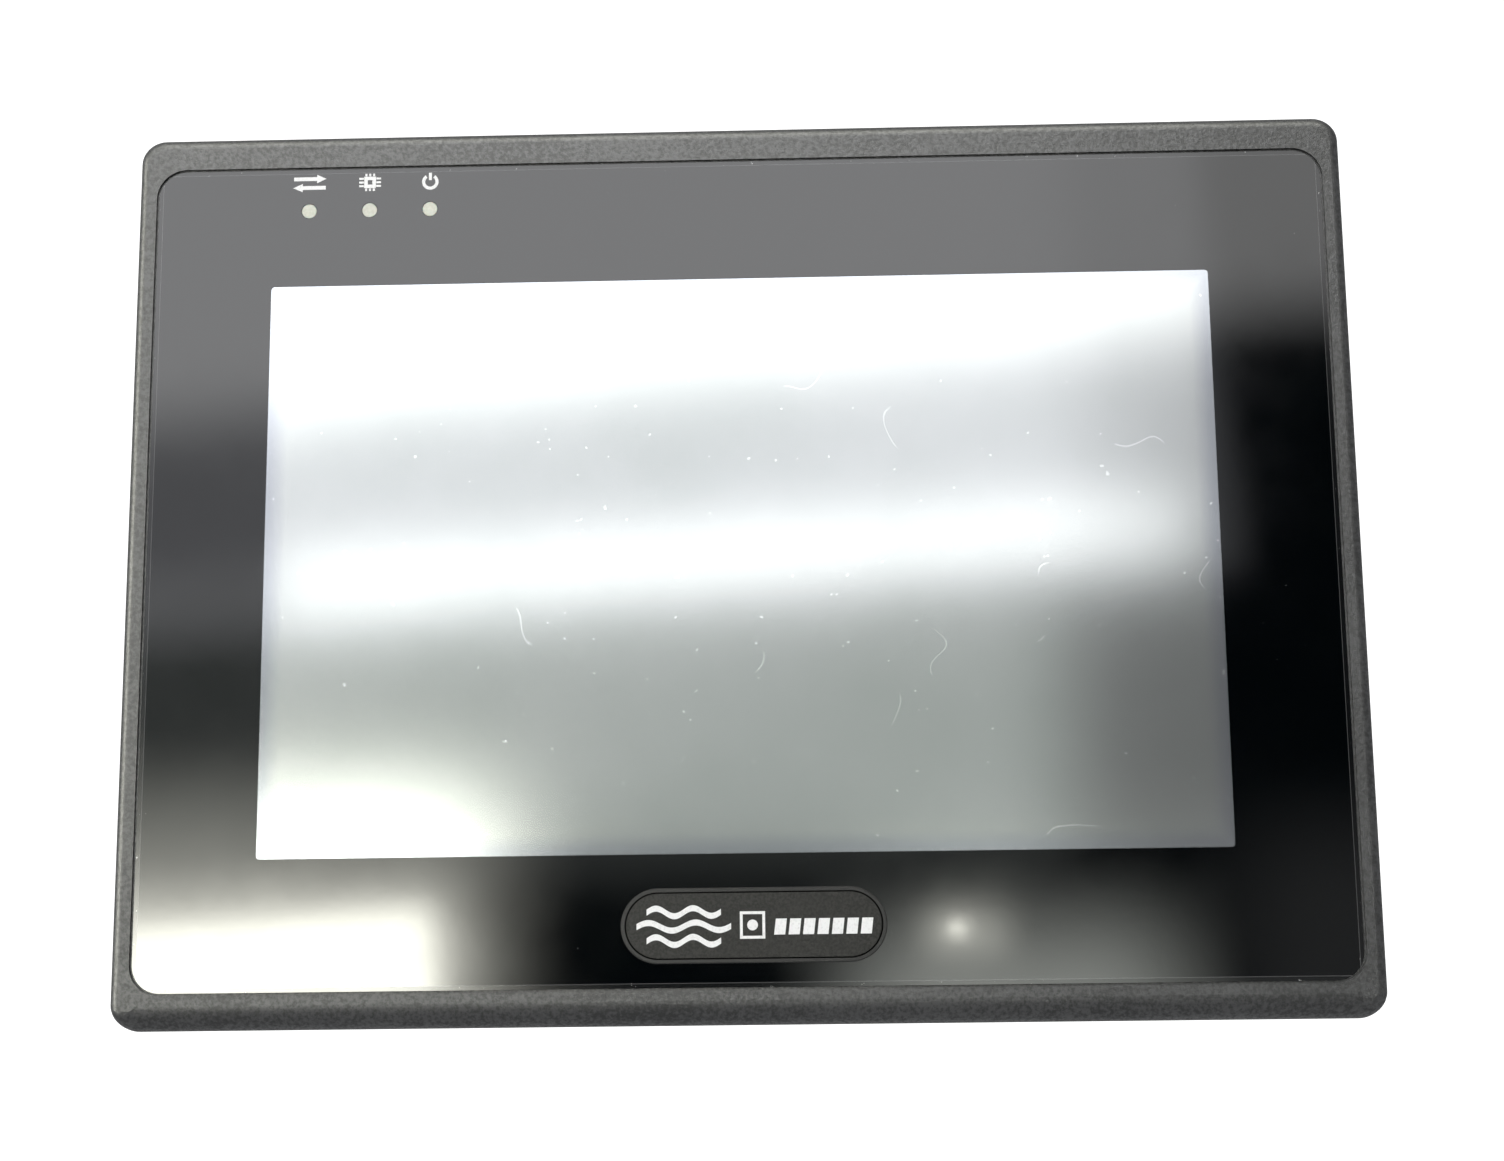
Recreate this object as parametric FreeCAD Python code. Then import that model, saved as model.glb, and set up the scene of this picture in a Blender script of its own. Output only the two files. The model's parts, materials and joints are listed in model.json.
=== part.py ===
import FreeCAD, Part
import math
import os

# HMI touch panel for flush mounting in a cabinet door. Millimetres.
# Frame: +X to the right seen from the front, +Y into the cabinet, +Z up.
# Origin: centre of the panel seat, which is the rear face of the sealing gasket.
# The front of the unit faces -Y.

Vector = FreeCAD.Vector
X_AXIS = Vector(1, 0, 0)
Y_AXIS = Vector(0, 1, 0)
Z_AXIS = Vector(0, 0, 1)
SIDES = (-1, 1)

# How far a cutting shape runs past the faces that it cuts
PROUD = 1.0

# Front bezel
BEZEL_WIDTH = 202.0
BEZEL_HEIGHT = 149.0
BEZEL_CORNER = 4.2
BEZEL_FRONT_Y = -7.6
BEZEL_REAR_Y = -0.8
BEZEL_WALL_REAR_Y = -4.0
TOP_EDGE_ROUND = 2.0
BOTTOM_EDGE_ROUND = 3.9
SIDE_EDGE_ROUND = 1.6

# Overlay recess and overlay
OVERLAY_WIDTH = 195.0
OVERLAY_HEIGHT = 137.0
OVERLAY_CORNER = 4.6
OVERLAY_Z = -0.1
OVERLAY_GAP = 0.4
OVERLAY_FLOOR_Y = -7.1
OVERLAY_STEP_Y = -7.4
OVERLAY_FACE_Y = -7.5
OVERLAY_STEP_WIDTH = 0.7

# Display window and display stack
DISPLAY_Z = 0.2
WINDOW_WIDTH = 156.2
WINDOW_HEIGHT = 95.5
WINDOW_CORNER = 0.6
LEDGE_MARGIN = 1.1
TOUCH_WIDTH = 165.6
TOUCH_HEIGHT = 104.6
TOUCH_CORNER = 1.5
TOUCH_REAR_Y = -5.5
LEDGE_FRONT_Y = -5.2
LCD_WIDTH = 165.0
LCD_HEIGHT = 104.0
LCD_FRONT_Y = -3.2
LCD_REAR_Y = 2.5
LCD_SHEET = 0.5
LCD_GLASS_REAR_Y = -1.5

# Nameplate: a pill with an outer bevelled rim
NAMEPLATE_X = 1.6
NAMEPLATE_Z = -58.9
NAMEPLATE_RIM_WIDTH = 42.3
NAMEPLATE_RIM_HEIGHT = 11.9
NAMEPLATE_WIDTH = 40.4
NAMEPLATE_HEIGHT = 10.2
NAMEPLATE_RIM_Y = -7.75
NAMEPLATE_FACE_Y = -7.85
NAMEPLATE_GROOVE = 0.18

# Indicator lamps
LAMP_X = (-72.0, -61.8, -51.6)
LAMP_Z = 61.1
LAMP_RADIUS = 1.22
LAMP_HOLE_RADIUS = 1.3
LAMP_FLANGE_RADIUS = 2.2
LAMP_FLANGE_Y = -5.5
INDICATOR_PEG_X = (-79.0, -44.6)
INDICATOR_PEG_RADIUS = 0.9
INDICATOR_BOARD_X = (-82.0, -41.6)
INDICATOR_BOARD_Y = (-2.0, -0.9)
INDICATOR_BOARD_HALF_HEIGHT = 4.2
LED_FRONT_Y = -3.7
LED_DOME_DEPTH = 0.9

# Gasket
GASKET_WIDTH = 199.0
GASKET_HEIGHT = 146.0
GASKET_INNER_WIDTH = 192.6
GASKET_INNER_HEIGHT = 138.6
GASKET_CORNER = 3.8
GASKET_FLOOR_Y = -2.0
SEAT_Y = 0.0

# Rear housing
HOUSING_WIDTH = 190.0
HOUSING_HEIGHT = 136.0
HOUSING_CORNER = 4.0
HOUSING_WALL = 2.2
HOUSING_REAR_Y = 37.2
HOUSING_INNER_Y = HOUSING_REAR_Y - HOUSING_WALL
HOUSING_EDGE_ROUND = 2.4
NEST_CLEARANCE = 0.3

# Connector bay: a notch across the bottom of the housing
BAY_HALF_WIDTH = 72.0
BAY_CEILING_Z = -51.0
BAY_FRONT_Y = 18.2

# Screw positions
COVER_SCREW_X = 88.5
COVER_SCREW_Z = 50.0
CHASSIS_SCREW_Z = 30.0
BOSS_RADIUS = 3.5
THREAD_RADIUS = 1.5
SCREW_HEAD_RADIUS = 2.75
SCREW_HEAD_HEIGHT = 1.8
COUNTERBORE_Y = 12.0

# Chassis plate and main board
CHASSIS_REAR_Y = 3.5
CHASSIS_HALF_WIDTH = 84.0
CHASSIS_HALF_HEIGHT = 54.0
CHASSIS_SHEET = 1.0
CHASSIS_FOOT_X = 92.2
CHASSIS_FOOT_HALF = 5.0
BOARD_FRONT_Y = 17.9
BOARD_REAR_Y = 19.5
BOARD_HALF_WIDTH = 80.0
BOARD_BOTTOM_Z = -48.4
BOARD_TOP_Z = 46.0
STANDOFF_X = 75.5
STANDOFF_Z = (-30.0, 41.5)
STANDOFF_ACROSS_FLATS = 5.5
STANDOFF_TAP_DEPTH = 6.0
BATTERY_X = 56.0
BATTERY_Z = 24.0
BATTERY_FLOOR = 1.2
CELL_RADIUS = 10.0
CELL_HEIGHT = 3.2
BUZZER_X = -62.0
BUZZER_Z = 14.0
BUZZER_HEIGHT = 8.5
DRIVER_X = 60.0
DRIVER_Z = 19.0
DRIVER_BOARD_Y = (7.5, 8.7)

# Flat cables: the touch tail and the display ribbon
TAIL_X = (51.0, 59.0)
TAIL_SLOT_X = (50.0, 60.0)
TAIL_Z = -53.4
TAIL_BEND_Y = 12.0
TAIL_END_Z = -44.0
RIBBON_HALF_WIDTH = 10.0
RIBBON_Z = -38.0
CABLE_THICKNESS = 0.3
CABLE_CONNECTOR_DEPTH = 2.5

# Connectors along the bay, centre X of each
POWER_X = -60.0
USB_CLIENT_X = -44.5
USB_HOST_X = -32.0
ETHERNET_X = -13.5
SERIAL_X = (14.5, 50.0)
SERIAL_Y = 25.85
SERIAL_PITCH = 24.99
FLANGE_Z = (BAY_CEILING_Z, BAY_CEILING_Z + 0.8)
FLANGE_HALF = (15.4, 6.25)
SHELL_FRONT_Z = BAY_CEILING_Z - 6.0
SHELL_WIDTH = 16.9
SHELL_HEIGHT = 8.4
SHELL_WALL = 0.5
CONTACT_PITCH = 2.77
CONTACT_ROW = 1.42
PIN_RADIUS = 0.5
PIN_TIP_Z = BAY_CEILING_Z - 5.4
PIN_TIP_LENGTH = 0.4
POST_LENGTH = 5.0
POST_ACROSS_FLATS = 4.76
POST_TAP_RADIUS = 1.2
USB_HOST_Y = BOARD_REAR_Y + 2.85
USB_CLIENT_Y = BOARD_REAR_Y + 2.0
USB_FRONT_Z = BAY_CEILING_Z - 0.6
USB_HOST_REAR_Z = -39.0
USB_CLIENT_REAR_Z = -44.0
USB_WALL = 0.35
HOST_SIZE = (13.1, 5.7)
CLIENT_SIZE = (7.7, 4.0)
JACK_HALF_WIDTH = 8.0
JACK_DEPTH = 13.4
JACK_REAR_Z = -31.5
JACK_CAVITY_Z = -38.6
JACK_CONTACT_Z = (-47.0, -40.0)
JACK_CONTACT_PITCH = 1.02

# Power connector
POLE_PITCH = 5.08
POLES = 3
PLUG_FACE_Z = -66.5
TERMINAL_Z = -61.0
HEADER_HALF = 8.6
HEADER_Y_RANGE = (BOARD_REAR_Y, 29.3)
HEADER_Y = 24.4
HEADER_CAVITY_Z = -42.0
HEADER_REAR_Z = -39.4
HEADER_PIN_LENGTH = 7.0
NOSE_HALF = 7.6
NOSE_Y = (21.1, 27.7)
NOSE_CLEARANCE = 0.2
PLUG_HALF = 8.0
PLUG_Y = (19.8, 34.6)
PLUG_TOP_Z = -51.4
PLUG_CHAMFER = 1.2
WIRE_ENTRY_Y = (22.9, 26.3)
WIRE_ENTRY_HALF = 1.6
SCREW_LEDGE_Y = (30.2, 31.0)
TERMINAL_SHANK_RADIUS = 1.25
TERMINAL_SHANK_END_Y = 25.6
TERMINAL_HEAD_RADIUS = 1.9
TERMINAL_HEAD_REAR_Y = 33.2
CAGE_HALF = 2.0
CAGE_Y = (21.6, 27.7)
CAGE_Z = (TERMINAL_Z - 2.4, TERMINAL_Z + 2.4)
CAGE_BAR = 1.2
CAGE_SIDE = 0.6

# Service pocket with reset button and DIP switch
POCKET_X = (40.0, 72.0)
POCKET_Z = (-28.0, -12.0)
POCKET_FLOOR_Y = 26.4
RESET_X = 46.0
DIP_X = 61.0
SERVICE_Z = -20.0
DIP_PITCH = 2.54
DIP_WAYS = 4
DIP_TRAVEL = 1.2
POCKET_WALL = 1.8
RESET_RADIUS = 1.6
RESET_STANDS_OUT = 1.8
DIP_BODY_Y = (BOARD_REAR_Y, 25.9)
DIP_BODY_SIZE = (11.6, 6.6)
DIP_SLOT_DEPTH = 1.6
DIP_SLIDER_STANDS_OUT = 0.8

# Vents: one row in the rear wall, one in the top wall and one in each side wall
REAR_VENTS = 19
REAR_VENT_PITCH = 8.0
REAR_VENT_SIZE = (2.2, 16.0)
REAR_VENT_Z = 50.0
TOP_VENTS = 17
TOP_VENT_PITCH = 7.0
SIDE_VENTS = 7
SIDE_VENT_PITCH = 8.0
WALL_VENT_HALF = 1.1
WALL_VENT_Y = (20.0, 32.0)

# Mounting clamps
CLAMP_X = 82.0
CLAMP_SCREW_Z = 71.6
CLAMP_Y = (14.2, 25.6)
FOOT_FRONT_Y = 8.0
SLOT_Y = (18.6, 22.8)
SLOT_HALF_WIDTH = 4.6
CLAMP_INNER_Z = HOUSING_HEIGHT / 2 + 0.4
CLAMP_OUTER_Z = CLAMP_SCREW_Z + 2.7
CLAMP_HALF_WIDTH = 5.0
CLAMP_ROUND = 2.0
HOOK_HALF_WIDTH = 4.2
HOOK_Y = (20.2, 22.7)
HOOK_LIP_Y = 24.1
HOOK_DEPTH_Z = HOUSING_HEIGHT / 2 - 4.4
LIP_TOP_Z = HOUSING_HEIGHT / 2 - HOUSING_WALL - 0.4
CLAMP_BORE = 1.5
CLAMP_SCREW_RADIUS = 1.43
CLAMP_SCREW_TIP_Y = FOOT_FRONT_Y + 1.15
FOOT_RADIUS = 2.4
FOOT_REAR_Y = 10.6
CLAMP_HEAD_Y = (33.0, 35.2)
CLAMP_HEAD_RADIUS = 2.7

# Rating label
LABEL_WIDTH = 78.0
LABEL_HEIGHT = 48.0
LABEL_X = -28.0
LABEL_Z = 6.0
LABEL_RECESS_Y = 36.8
LABEL_THICKNESS = 0.2


def box(x_range, y_range, z_range):
    corner = Vector(x_range[0], y_range[0], z_range[0])
    return Part.makeBox(x_range[1] - x_range[0], y_range[1] - y_range[0], z_range[1] - z_range[0], corner)


def centred_box(x, z, width, height, y_range):
    return box((x - width / 2, x + width / 2), y_range, (z - height / 2, z + height / 2))


def rod(x, z, radius, y_range):
    """Round bar along Y."""
    return Part.makeCylinder(radius, y_range[1] - y_range[0], Vector(x, y_range[0], z), Y_AXIS)


def rod_z(x, y, radius, z_range):
    """Round bar along Z."""
    return Part.makeCylinder(radius, z_range[1] - z_range[0], Vector(x, y, z_range[0]), Z_AXIS)


def hex_face(centre, across_flats, normal, side):
    """Hexagonal face; side is a unit vector in the plane towards one corner."""
    radius = across_flats / math.sqrt(3)
    other = normal.cross(side)
    points = []
    for step in range(7):
        angle = step * math.pi / 3
        points.append(centre + side * (radius * math.cos(angle)) + other * (radius * math.sin(angle)))
    return Part.Face(Part.makePolygon(points))


def rounded_plate(width, height, radius, y_range, x=0.0, z=0.0):
    """Plate with rounded corners, its faces normal to Y."""
    left = x - width / 2
    right = x + width / 2
    low = z - height / 2
    high = z + height / 2
    corners = (
        (right - radius, low + radius, -90.0),
        (right - radius, high - radius, 0.0),
        (left + radius, high - radius, 90.0),
        (left + radius, low + radius, 180.0),
    )
    arcs = []
    for centre_x, centre_z, start in corners:
        points = []
        for turn in (0.0, 45.0, 90.0):
            angle = math.radians(start + turn)
            points.append(Vector(centre_x + radius * math.cos(angle), y_range[0],
                                 centre_z + radius * math.sin(angle)))
        arcs.append(points)
    edges = []
    for index, arc in enumerate(arcs):
        following = arcs[(index + 1) % len(arcs)]
        edges.append(Part.Arc(*arc).toShape())
        if (arc[2] - following[0]).Length > 1e-6:
            edges.append(Part.LineSegment(arc[2], following[0]).toShape())
    return Part.Face(Part.Wire(edges)).extrude(Vector(0, y_range[1] - y_range[0], 0))


def fused(shapes):
    result = shapes[0]
    if len(shapes) > 1:
        result = result.multiFuse(shapes[1:]).removeSplitter()
    return result


def save(name, shapes):
    """Write one node. A list gives a group of separate solids."""
    solids = []
    for shape in (shapes if isinstance(shapes, list) else [shapes]):
        solids.extend(shape.Solids)
    for solid in solids:
        if not solid.isValid():
            raise RuntimeError(name + " has an invalid solid")
    body = solids[0] if len(solids) == 1 else Part.makeCompound(solids)
    body.exportStep("parts/" + name + ".step")
    print(name, len(solids), "solids", round(sum(solid.Volume for solid in solids), 2), "mm3")


def edges_on_plane(shape, y):
    found = []
    for edge in shape.Edges:
        bounds = edge.BoundBox
        if abs(bounds.YMin - y) < 1e-6 and abs(bounds.YMax - y) < 1e-6:
            found.append(edge)
    return found


# ---------------------------------------------------------------- front bezel

def soften_front(plate):
    """Round the front edge: wide along the bottom, narrower along the top and at the sides."""
    document = FreeCAD.newDocument("bezel")
    base = document.addObject("Part::Feature", "plate")
    base.Shape = plate
    rounds = []
    for index, edge in enumerate(plate.Edges, 1):
        bounds = edge.BoundBox
        if abs(bounds.YMin - BEZEL_FRONT_Y) > 1e-6 or abs(bounds.YMax - BEZEL_FRONT_Y) > 1e-6:
            continue
        radii = []
        for parameter in (edge.FirstParameter, edge.LastParameter):
            point = edge.valueAt(parameter)
            if point.z > BEZEL_HEIGHT / 2 - 1e-3:
                radii.append(TOP_EDGE_ROUND)
            elif point.z < -BEZEL_HEIGHT / 2 + 1e-3:
                radii.append(BOTTOM_EDGE_ROUND)
            else:
                radii.append(SIDE_EDGE_ROUND)
        rounds.append((index, radii[0], radii[1]))
    fillet = document.addObject("Part::Fillet", "fillet")
    fillet.Base = base
    fillet.Edges = rounds
    document.recompute()
    shape = fillet.Shape.copy()
    FreeCAD.closeDocument("bezel")
    return shape


def front_bezel():
    plate = rounded_plate(BEZEL_WIDTH, BEZEL_HEIGHT, BEZEL_CORNER, (BEZEL_FRONT_Y, BEZEL_REAR_Y))
    plate = soften_front(plate)
    cuts = [
        rounded_plate(OVERLAY_WIDTH + 2 * OVERLAY_GAP, OVERLAY_HEIGHT + 2 * OVERLAY_GAP,
                      OVERLAY_CORNER + OVERLAY_GAP, (BEZEL_FRONT_Y - PROUD, OVERLAY_FLOOR_Y), 0, OVERLAY_Z),
        rounded_plate(TOUCH_WIDTH + 0.8, TOUCH_HEIGHT + 0.8, TOUCH_CORNER,
                      (OVERLAY_FLOOR_Y - PROUD, LEDGE_FRONT_Y), 0, DISPLAY_Z),
        rounded_plate(WINDOW_WIDTH + 2 * LEDGE_MARGIN, WINDOW_HEIGHT + 2 * LEDGE_MARGIN, TOUCH_CORNER,
                      (LEDGE_FRONT_Y - PROUD, BEZEL_WALL_REAR_Y + PROUD), 0, DISPLAY_Z),
        rounded_plate(HOUSING_WIDTH + 2 * NEST_CLEARANCE, HOUSING_HEIGHT + 2 * NEST_CLEARANCE,
                      HOUSING_CORNER + NEST_CLEARANCE, (BEZEL_WALL_REAR_Y, BEZEL_REAR_Y + PROUD)),
        gasket_ring(0.1, (GASKET_FLOOR_Y, BEZEL_REAR_Y + PROUD)),
        touch_tail_slot(),
    ]
    for x in LAMP_X:
        cuts.append(rod(x, LAMP_Z, LAMP_HOLE_RADIUS, (BEZEL_FRONT_Y, BEZEL_WALL_REAR_Y)))
        cuts.append(rod(x, LAMP_Z, LAMP_FLANGE_RADIUS + 0.1, (LAMP_FLANGE_Y, BEZEL_WALL_REAR_Y + PROUD)))
    shape = plate.cut(cuts)
    bosses = []
    holes = []
    hole_floor_y = BEZEL_WALL_REAR_Y - 2.0
    for x_side in SIDES:
        for z in (-COVER_SCREW_Z, -CHASSIS_SCREW_Z, CHASSIS_SCREW_Z, COVER_SCREW_Z):
            bosses.append(rod(x_side * COVER_SCREW_X, z, BOSS_RADIUS, (BEZEL_WALL_REAR_Y, BEZEL_REAR_Y)))
            holes.append(rod(x_side * COVER_SCREW_X, z, THREAD_RADIUS, (hole_floor_y, BEZEL_REAR_Y + PROUD)))
    for x in INDICATOR_PEG_X:
        bosses.append(rod(x, LAMP_Z, INDICATOR_PEG_RADIUS + 0.7, (BEZEL_WALL_REAR_Y, INDICATOR_BOARD_Y[0])))
        bosses.append(rod(x, LAMP_Z, INDICATOR_PEG_RADIUS, (BEZEL_WALL_REAR_Y, INDICATOR_BOARD_Y[1] + 0.4)))
    return fused([shape] + bosses).cut(holes)


def touch_tail_slot():
    return box(TAIL_SLOT_X, (OVERLAY_FLOOR_Y + 0.9, BEZEL_WALL_REAR_Y + PROUD), (TAIL_Z - 0.6, TAIL_Z + 1.4))


def gasket_ring(clearance, y_range):
    outer = rounded_plate(GASKET_WIDTH + 2 * clearance, GASKET_HEIGHT + 2 * clearance,
                          GASKET_CORNER + clearance, y_range)
    inner = rounded_plate(GASKET_INNER_WIDTH - 2 * clearance, GASKET_INNER_HEIGHT - 2 * clearance,
                          GASKET_CORNER - clearance - 0.4, y_range)
    return outer.cut(inner)


def overlay_film():
    lower = rounded_plate(OVERLAY_WIDTH, OVERLAY_HEIGHT, OVERLAY_CORNER,
                          (OVERLAY_STEP_Y, OVERLAY_FLOOR_Y), 0, OVERLAY_Z)
    upper = rounded_plate(OVERLAY_WIDTH - 2 * OVERLAY_STEP_WIDTH, OVERLAY_HEIGHT - 2 * OVERLAY_STEP_WIDTH,
                          OVERLAY_CORNER - OVERLAY_STEP_WIDTH, (OVERLAY_FACE_Y, OVERLAY_STEP_Y), 0, OVERLAY_Z)
    through = (OVERLAY_FACE_Y - PROUD, OVERLAY_FLOOR_Y + PROUD)
    cuts = [rounded_plate(WINDOW_WIDTH, WINDOW_HEIGHT, WINDOW_CORNER, through, 0, DISPLAY_Z)]
    for x in LAMP_X:
        cuts.append(rod(x, LAMP_Z, LAMP_HOLE_RADIUS, through))
    return fused([lower, upper]).cut(cuts)


def window_film():
    return rounded_plate(WINDOW_WIDTH, WINDOW_HEIGHT, WINDOW_CORNER,
                         (OVERLAY_STEP_Y, OVERLAY_FLOOR_Y), 0, DISPLAY_Z)


def pill(width, height, y_range):
    return rounded_plate(width, height, height / 2 - 1e-4, y_range, NAMEPLATE_X, NAMEPLATE_Z)


def nameplate():
    rim = pill(NAMEPLATE_RIM_WIDTH, NAMEPLATE_RIM_HEIGHT, (NAMEPLATE_RIM_Y, OVERLAY_FACE_Y))
    rim = rim.makeChamfer(0.15, edges_on_plane(rim, NAMEPLATE_RIM_Y))
    groove_floor_y = NAMEPLATE_RIM_Y + 0.12
    groove = pill(NAMEPLATE_WIDTH + 2 * NAMEPLATE_GROOVE, NAMEPLATE_HEIGHT + 2 * NAMEPLATE_GROOVE,
                  (NAMEPLATE_RIM_Y - PROUD, groove_floor_y))
    face = pill(NAMEPLATE_WIDTH, NAMEPLATE_HEIGHT, (NAMEPLATE_FACE_Y, groove_floor_y))
    return fused([rim.cut(groove), face])


# ------------------------------------------------------- indicator lamps

def light_pipes():
    pipes = []
    for x in LAMP_X:
        tip = rod(x, LAMP_Z, LAMP_RADIUS, (OVERLAY_FACE_Y + 0.03, LAMP_FLANGE_Y))
        flange = rod(x, LAMP_Z, LAMP_FLANGE_RADIUS, (LAMP_FLANGE_Y, BEZEL_WALL_REAR_Y))
        pipes.append(fused([tip, flange]))
    return pipes


def indicator_board():
    half = INDICATOR_BOARD_HALF_HEIGHT
    board = box(INDICATOR_BOARD_X, INDICATOR_BOARD_Y, (LAMP_Z - half, LAMP_Z + half))
    through = (INDICATOR_BOARD_Y[0] - PROUD, INDICATOR_BOARD_Y[1] + PROUD)
    return board.cut([rod(x, LAMP_Z, INDICATOR_PEG_RADIUS + 0.1, through) for x in INDICATOR_PEG_X])


def indicator_leds():
    lamps = []
    for x in LAMP_X:
        base = centred_box(x, LAMP_Z, 3.2, 2.8, (LED_FRONT_Y + LED_DOME_DEPTH, INDICATOR_BOARD_Y[0]))
        dome = rod(x, LAMP_Z, 1.2, (LED_FRONT_Y, LED_FRONT_Y + LED_DOME_DEPTH))
        lamps.append(fused([base, dome]))
    return lamps


# ---------------------------------------------------------- display stack

def touch_panel():
    depth = (OVERLAY_FLOOR_Y, TOUCH_REAR_Y)
    return rounded_plate(TOUCH_WIDTH, TOUCH_HEIGHT, TOUCH_CORNER, depth, 0, DISPLAY_Z)


def frame_ring(outer, inner, y_range):
    ring = rounded_plate(outer[0], outer[1], TOUCH_CORNER, y_range, 0, DISPLAY_Z)
    through = (y_range[0] - PROUD, y_range[1] + PROUD)
    return ring.cut(rounded_plate(inner[0], inner[1], TOUCH_CORNER, through, 0, DISPLAY_Z))


def display_seals():
    opening = (WINDOW_WIDTH + 2.6, WINDOW_HEIGHT + 2.6)
    adhesive = frame_ring((TOUCH_WIDTH, TOUCH_HEIGHT), opening, (TOUCH_REAR_Y, LEDGE_FRONT_Y))
    through = (TOUCH_REAR_Y - PROUD, LEDGE_FRONT_Y + PROUD)
    adhesive = adhesive.cut(box(TAIL_SLOT_X, through, (TAIL_Z - 0.6, TAIL_Z + 2.4)))
    foam = frame_ring((LCD_WIDTH - 1.0, LCD_HEIGHT - 1.0), opening, (BEZEL_WALL_REAR_Y, LCD_FRONT_Y))
    return [adhesive, foam]


def lcd_frame():
    inside = LCD_SHEET * 2
    tray = centred_box(0, DISPLAY_Z, LCD_WIDTH, LCD_HEIGHT, (LCD_FRONT_Y, LCD_REAR_Y))
    cuts = [
        centred_box(0, DISPLAY_Z, LCD_WIDTH - inside, LCD_HEIGHT - inside,
                    (LCD_FRONT_Y + LCD_SHEET, LCD_REAR_Y + PROUD)),
        centred_box(0, DISPLAY_Z, WINDOW_WIDTH - 0.8, WINDOW_HEIGHT - 1.0,
                    (LCD_FRONT_Y - PROUD, LCD_FRONT_Y + PROUD)),
    ]
    return tray.cut(cuts)


def lcd_glass():
    return centred_box(0, DISPLAY_Z, LCD_WIDTH - 2.4, LCD_HEIGHT - 2.4,
                       (LCD_FRONT_Y + LCD_SHEET, LCD_GLASS_REAR_Y))


def backlight_unit():
    """White moulded tray that holds the light guide, with a cut corner for its cable."""
    tray = centred_box(0, DISPLAY_Z, LCD_WIDTH - 1.4, LCD_HEIGHT - 1.4, (LCD_GLASS_REAR_Y, LCD_REAR_Y - 0.2))
    ribs = []
    for z in (-34.0, -11.4, 11.4, 34.0):
        ribs.append(centred_box(0, DISPLAY_Z + z, LCD_WIDTH - 20.0, 4.0, (LCD_REAR_Y - 0.2, LCD_REAR_Y)))
    return fused([tray] + ribs)


# ----------------------------------------------------- chassis and screws

def chassis_plate():
    """Flat steel plate behind the display, with four turned-down mounting feet."""
    sheet = CHASSIS_SHEET
    through = (LCD_REAR_Y - PROUD, CHASSIS_REAR_Y + PROUD)
    pieces = [rounded_plate(2 * CHASSIS_HALF_WIDTH, 2 * CHASSIS_HALF_HEIGHT, 2.0,
                            (LCD_REAR_Y, CHASSIS_REAR_Y))]
    cuts = []
    for x_side in SIDES:
        leg_x = sorted((x_side * (CHASSIS_HALF_WIDTH - sheet), x_side * CHASSIS_HALF_WIDTH))
        foot_x = sorted((x_side * (CHASSIS_HALF_WIDTH - sheet), x_side * CHASSIS_FOOT_X))
        for z in (-CHASSIS_SCREW_Z, CHASSIS_SCREW_Z):
            z_range = (z - CHASSIS_FOOT_HALF, z + CHASSIS_FOOT_HALF)
            pieces.append(box(leg_x, (BEZEL_REAR_Y, CHASSIS_REAR_Y), z_range))
            pieces.append(box(foot_x, (BEZEL_REAR_Y, BEZEL_REAR_Y + sheet), z_range))
            cuts.append(rod(x_side * COVER_SCREW_X, z, THREAD_RADIUS + 0.15,
                            (BEZEL_REAR_Y - PROUD, LCD_REAR_Y)))
        for z in STANDOFF_Z:
            cuts.append(rod(x_side * STANDOFF_X, z, THREAD_RADIUS, through))
    for z in (-38.0, 0.0, 38.0):
        for x in (-48.0, 0.0, 48.0):
            if z != 0.0 or x != 0.0:
                cuts.append(rounded_plate(26.0, 12.0, 3.0, through, x, z))
    cuts.append(box(TAIL_SLOT_X, through, (-CHASSIS_HALF_HEIGHT - PROUD, TAIL_Z + 1.4)))
    return fused(pieces).cut(cuts)


def cross_recess(x, z, span, width, y_range):
    return [centred_box(x, z, span, width, y_range), centred_box(x, z, width, span, y_range)]


def pan_screw(x, z, seat_y, length):
    """Pan head screw along Y, with its head behind the seat."""
    head = rod(x, z, SCREW_HEAD_RADIUS, (seat_y, seat_y + SCREW_HEAD_HEIGHT))
    head = head.makeFillet(0.7, edges_on_plane(head, seat_y + SCREW_HEAD_HEIGHT))
    shank = rod(x, z, THREAD_RADIUS, (seat_y - length, seat_y))
    top = seat_y + SCREW_HEAD_HEIGHT
    return fused([head, shank]).cut(cross_recess(x, z, 3.0, 0.7, (top - 1.0, top + PROUD)))


def inner_screws():
    screws = []
    for x_side in SIDES:
        for z in (-CHASSIS_SCREW_Z, CHASSIS_SCREW_Z):
            screws.append(pan_screw(x_side * COVER_SCREW_X, z, BEZEL_REAR_Y + 1.0, 5.0))
        for z in STANDOFF_Z:
            screws.append(pan_screw(x_side * STANDOFF_X, z, BOARD_REAR_Y, 5.0))
    return screws


def cover_screws():
    screws = []
    for x_side in SIDES:
        for z_side in SIDES:
            screws.append(pan_screw(x_side * COVER_SCREW_X, z_side * COVER_SCREW_Z, COUNTERBORE_Y, 17.0))
    return screws


def board_standoffs():
    posts = []
    for x_side in SIDES:
        for z in STANDOFF_Z:
            x = x_side * STANDOFF_X
            post = hex_face(Vector(x, CHASSIS_REAR_Y, z), STANDOFF_ACROSS_FLATS, Y_AXIS, X_AXIS)
            post = post.extrude(Y_AXIS * (BOARD_FRONT_Y - CHASSIS_REAR_Y))
            stud = rod(x, z, THREAD_RADIUS, (LCD_REAR_Y, CHASSIS_REAR_Y))
            tapped = rod(x, z, THREAD_RADIUS, (BOARD_FRONT_Y - STANDOFF_TAP_DEPTH, BOARD_FRONT_Y + PROUD))
            posts.append(fused([post, stud]).cut(tapped))
    return posts


# ------------------------------------------------------------- main board

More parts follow.
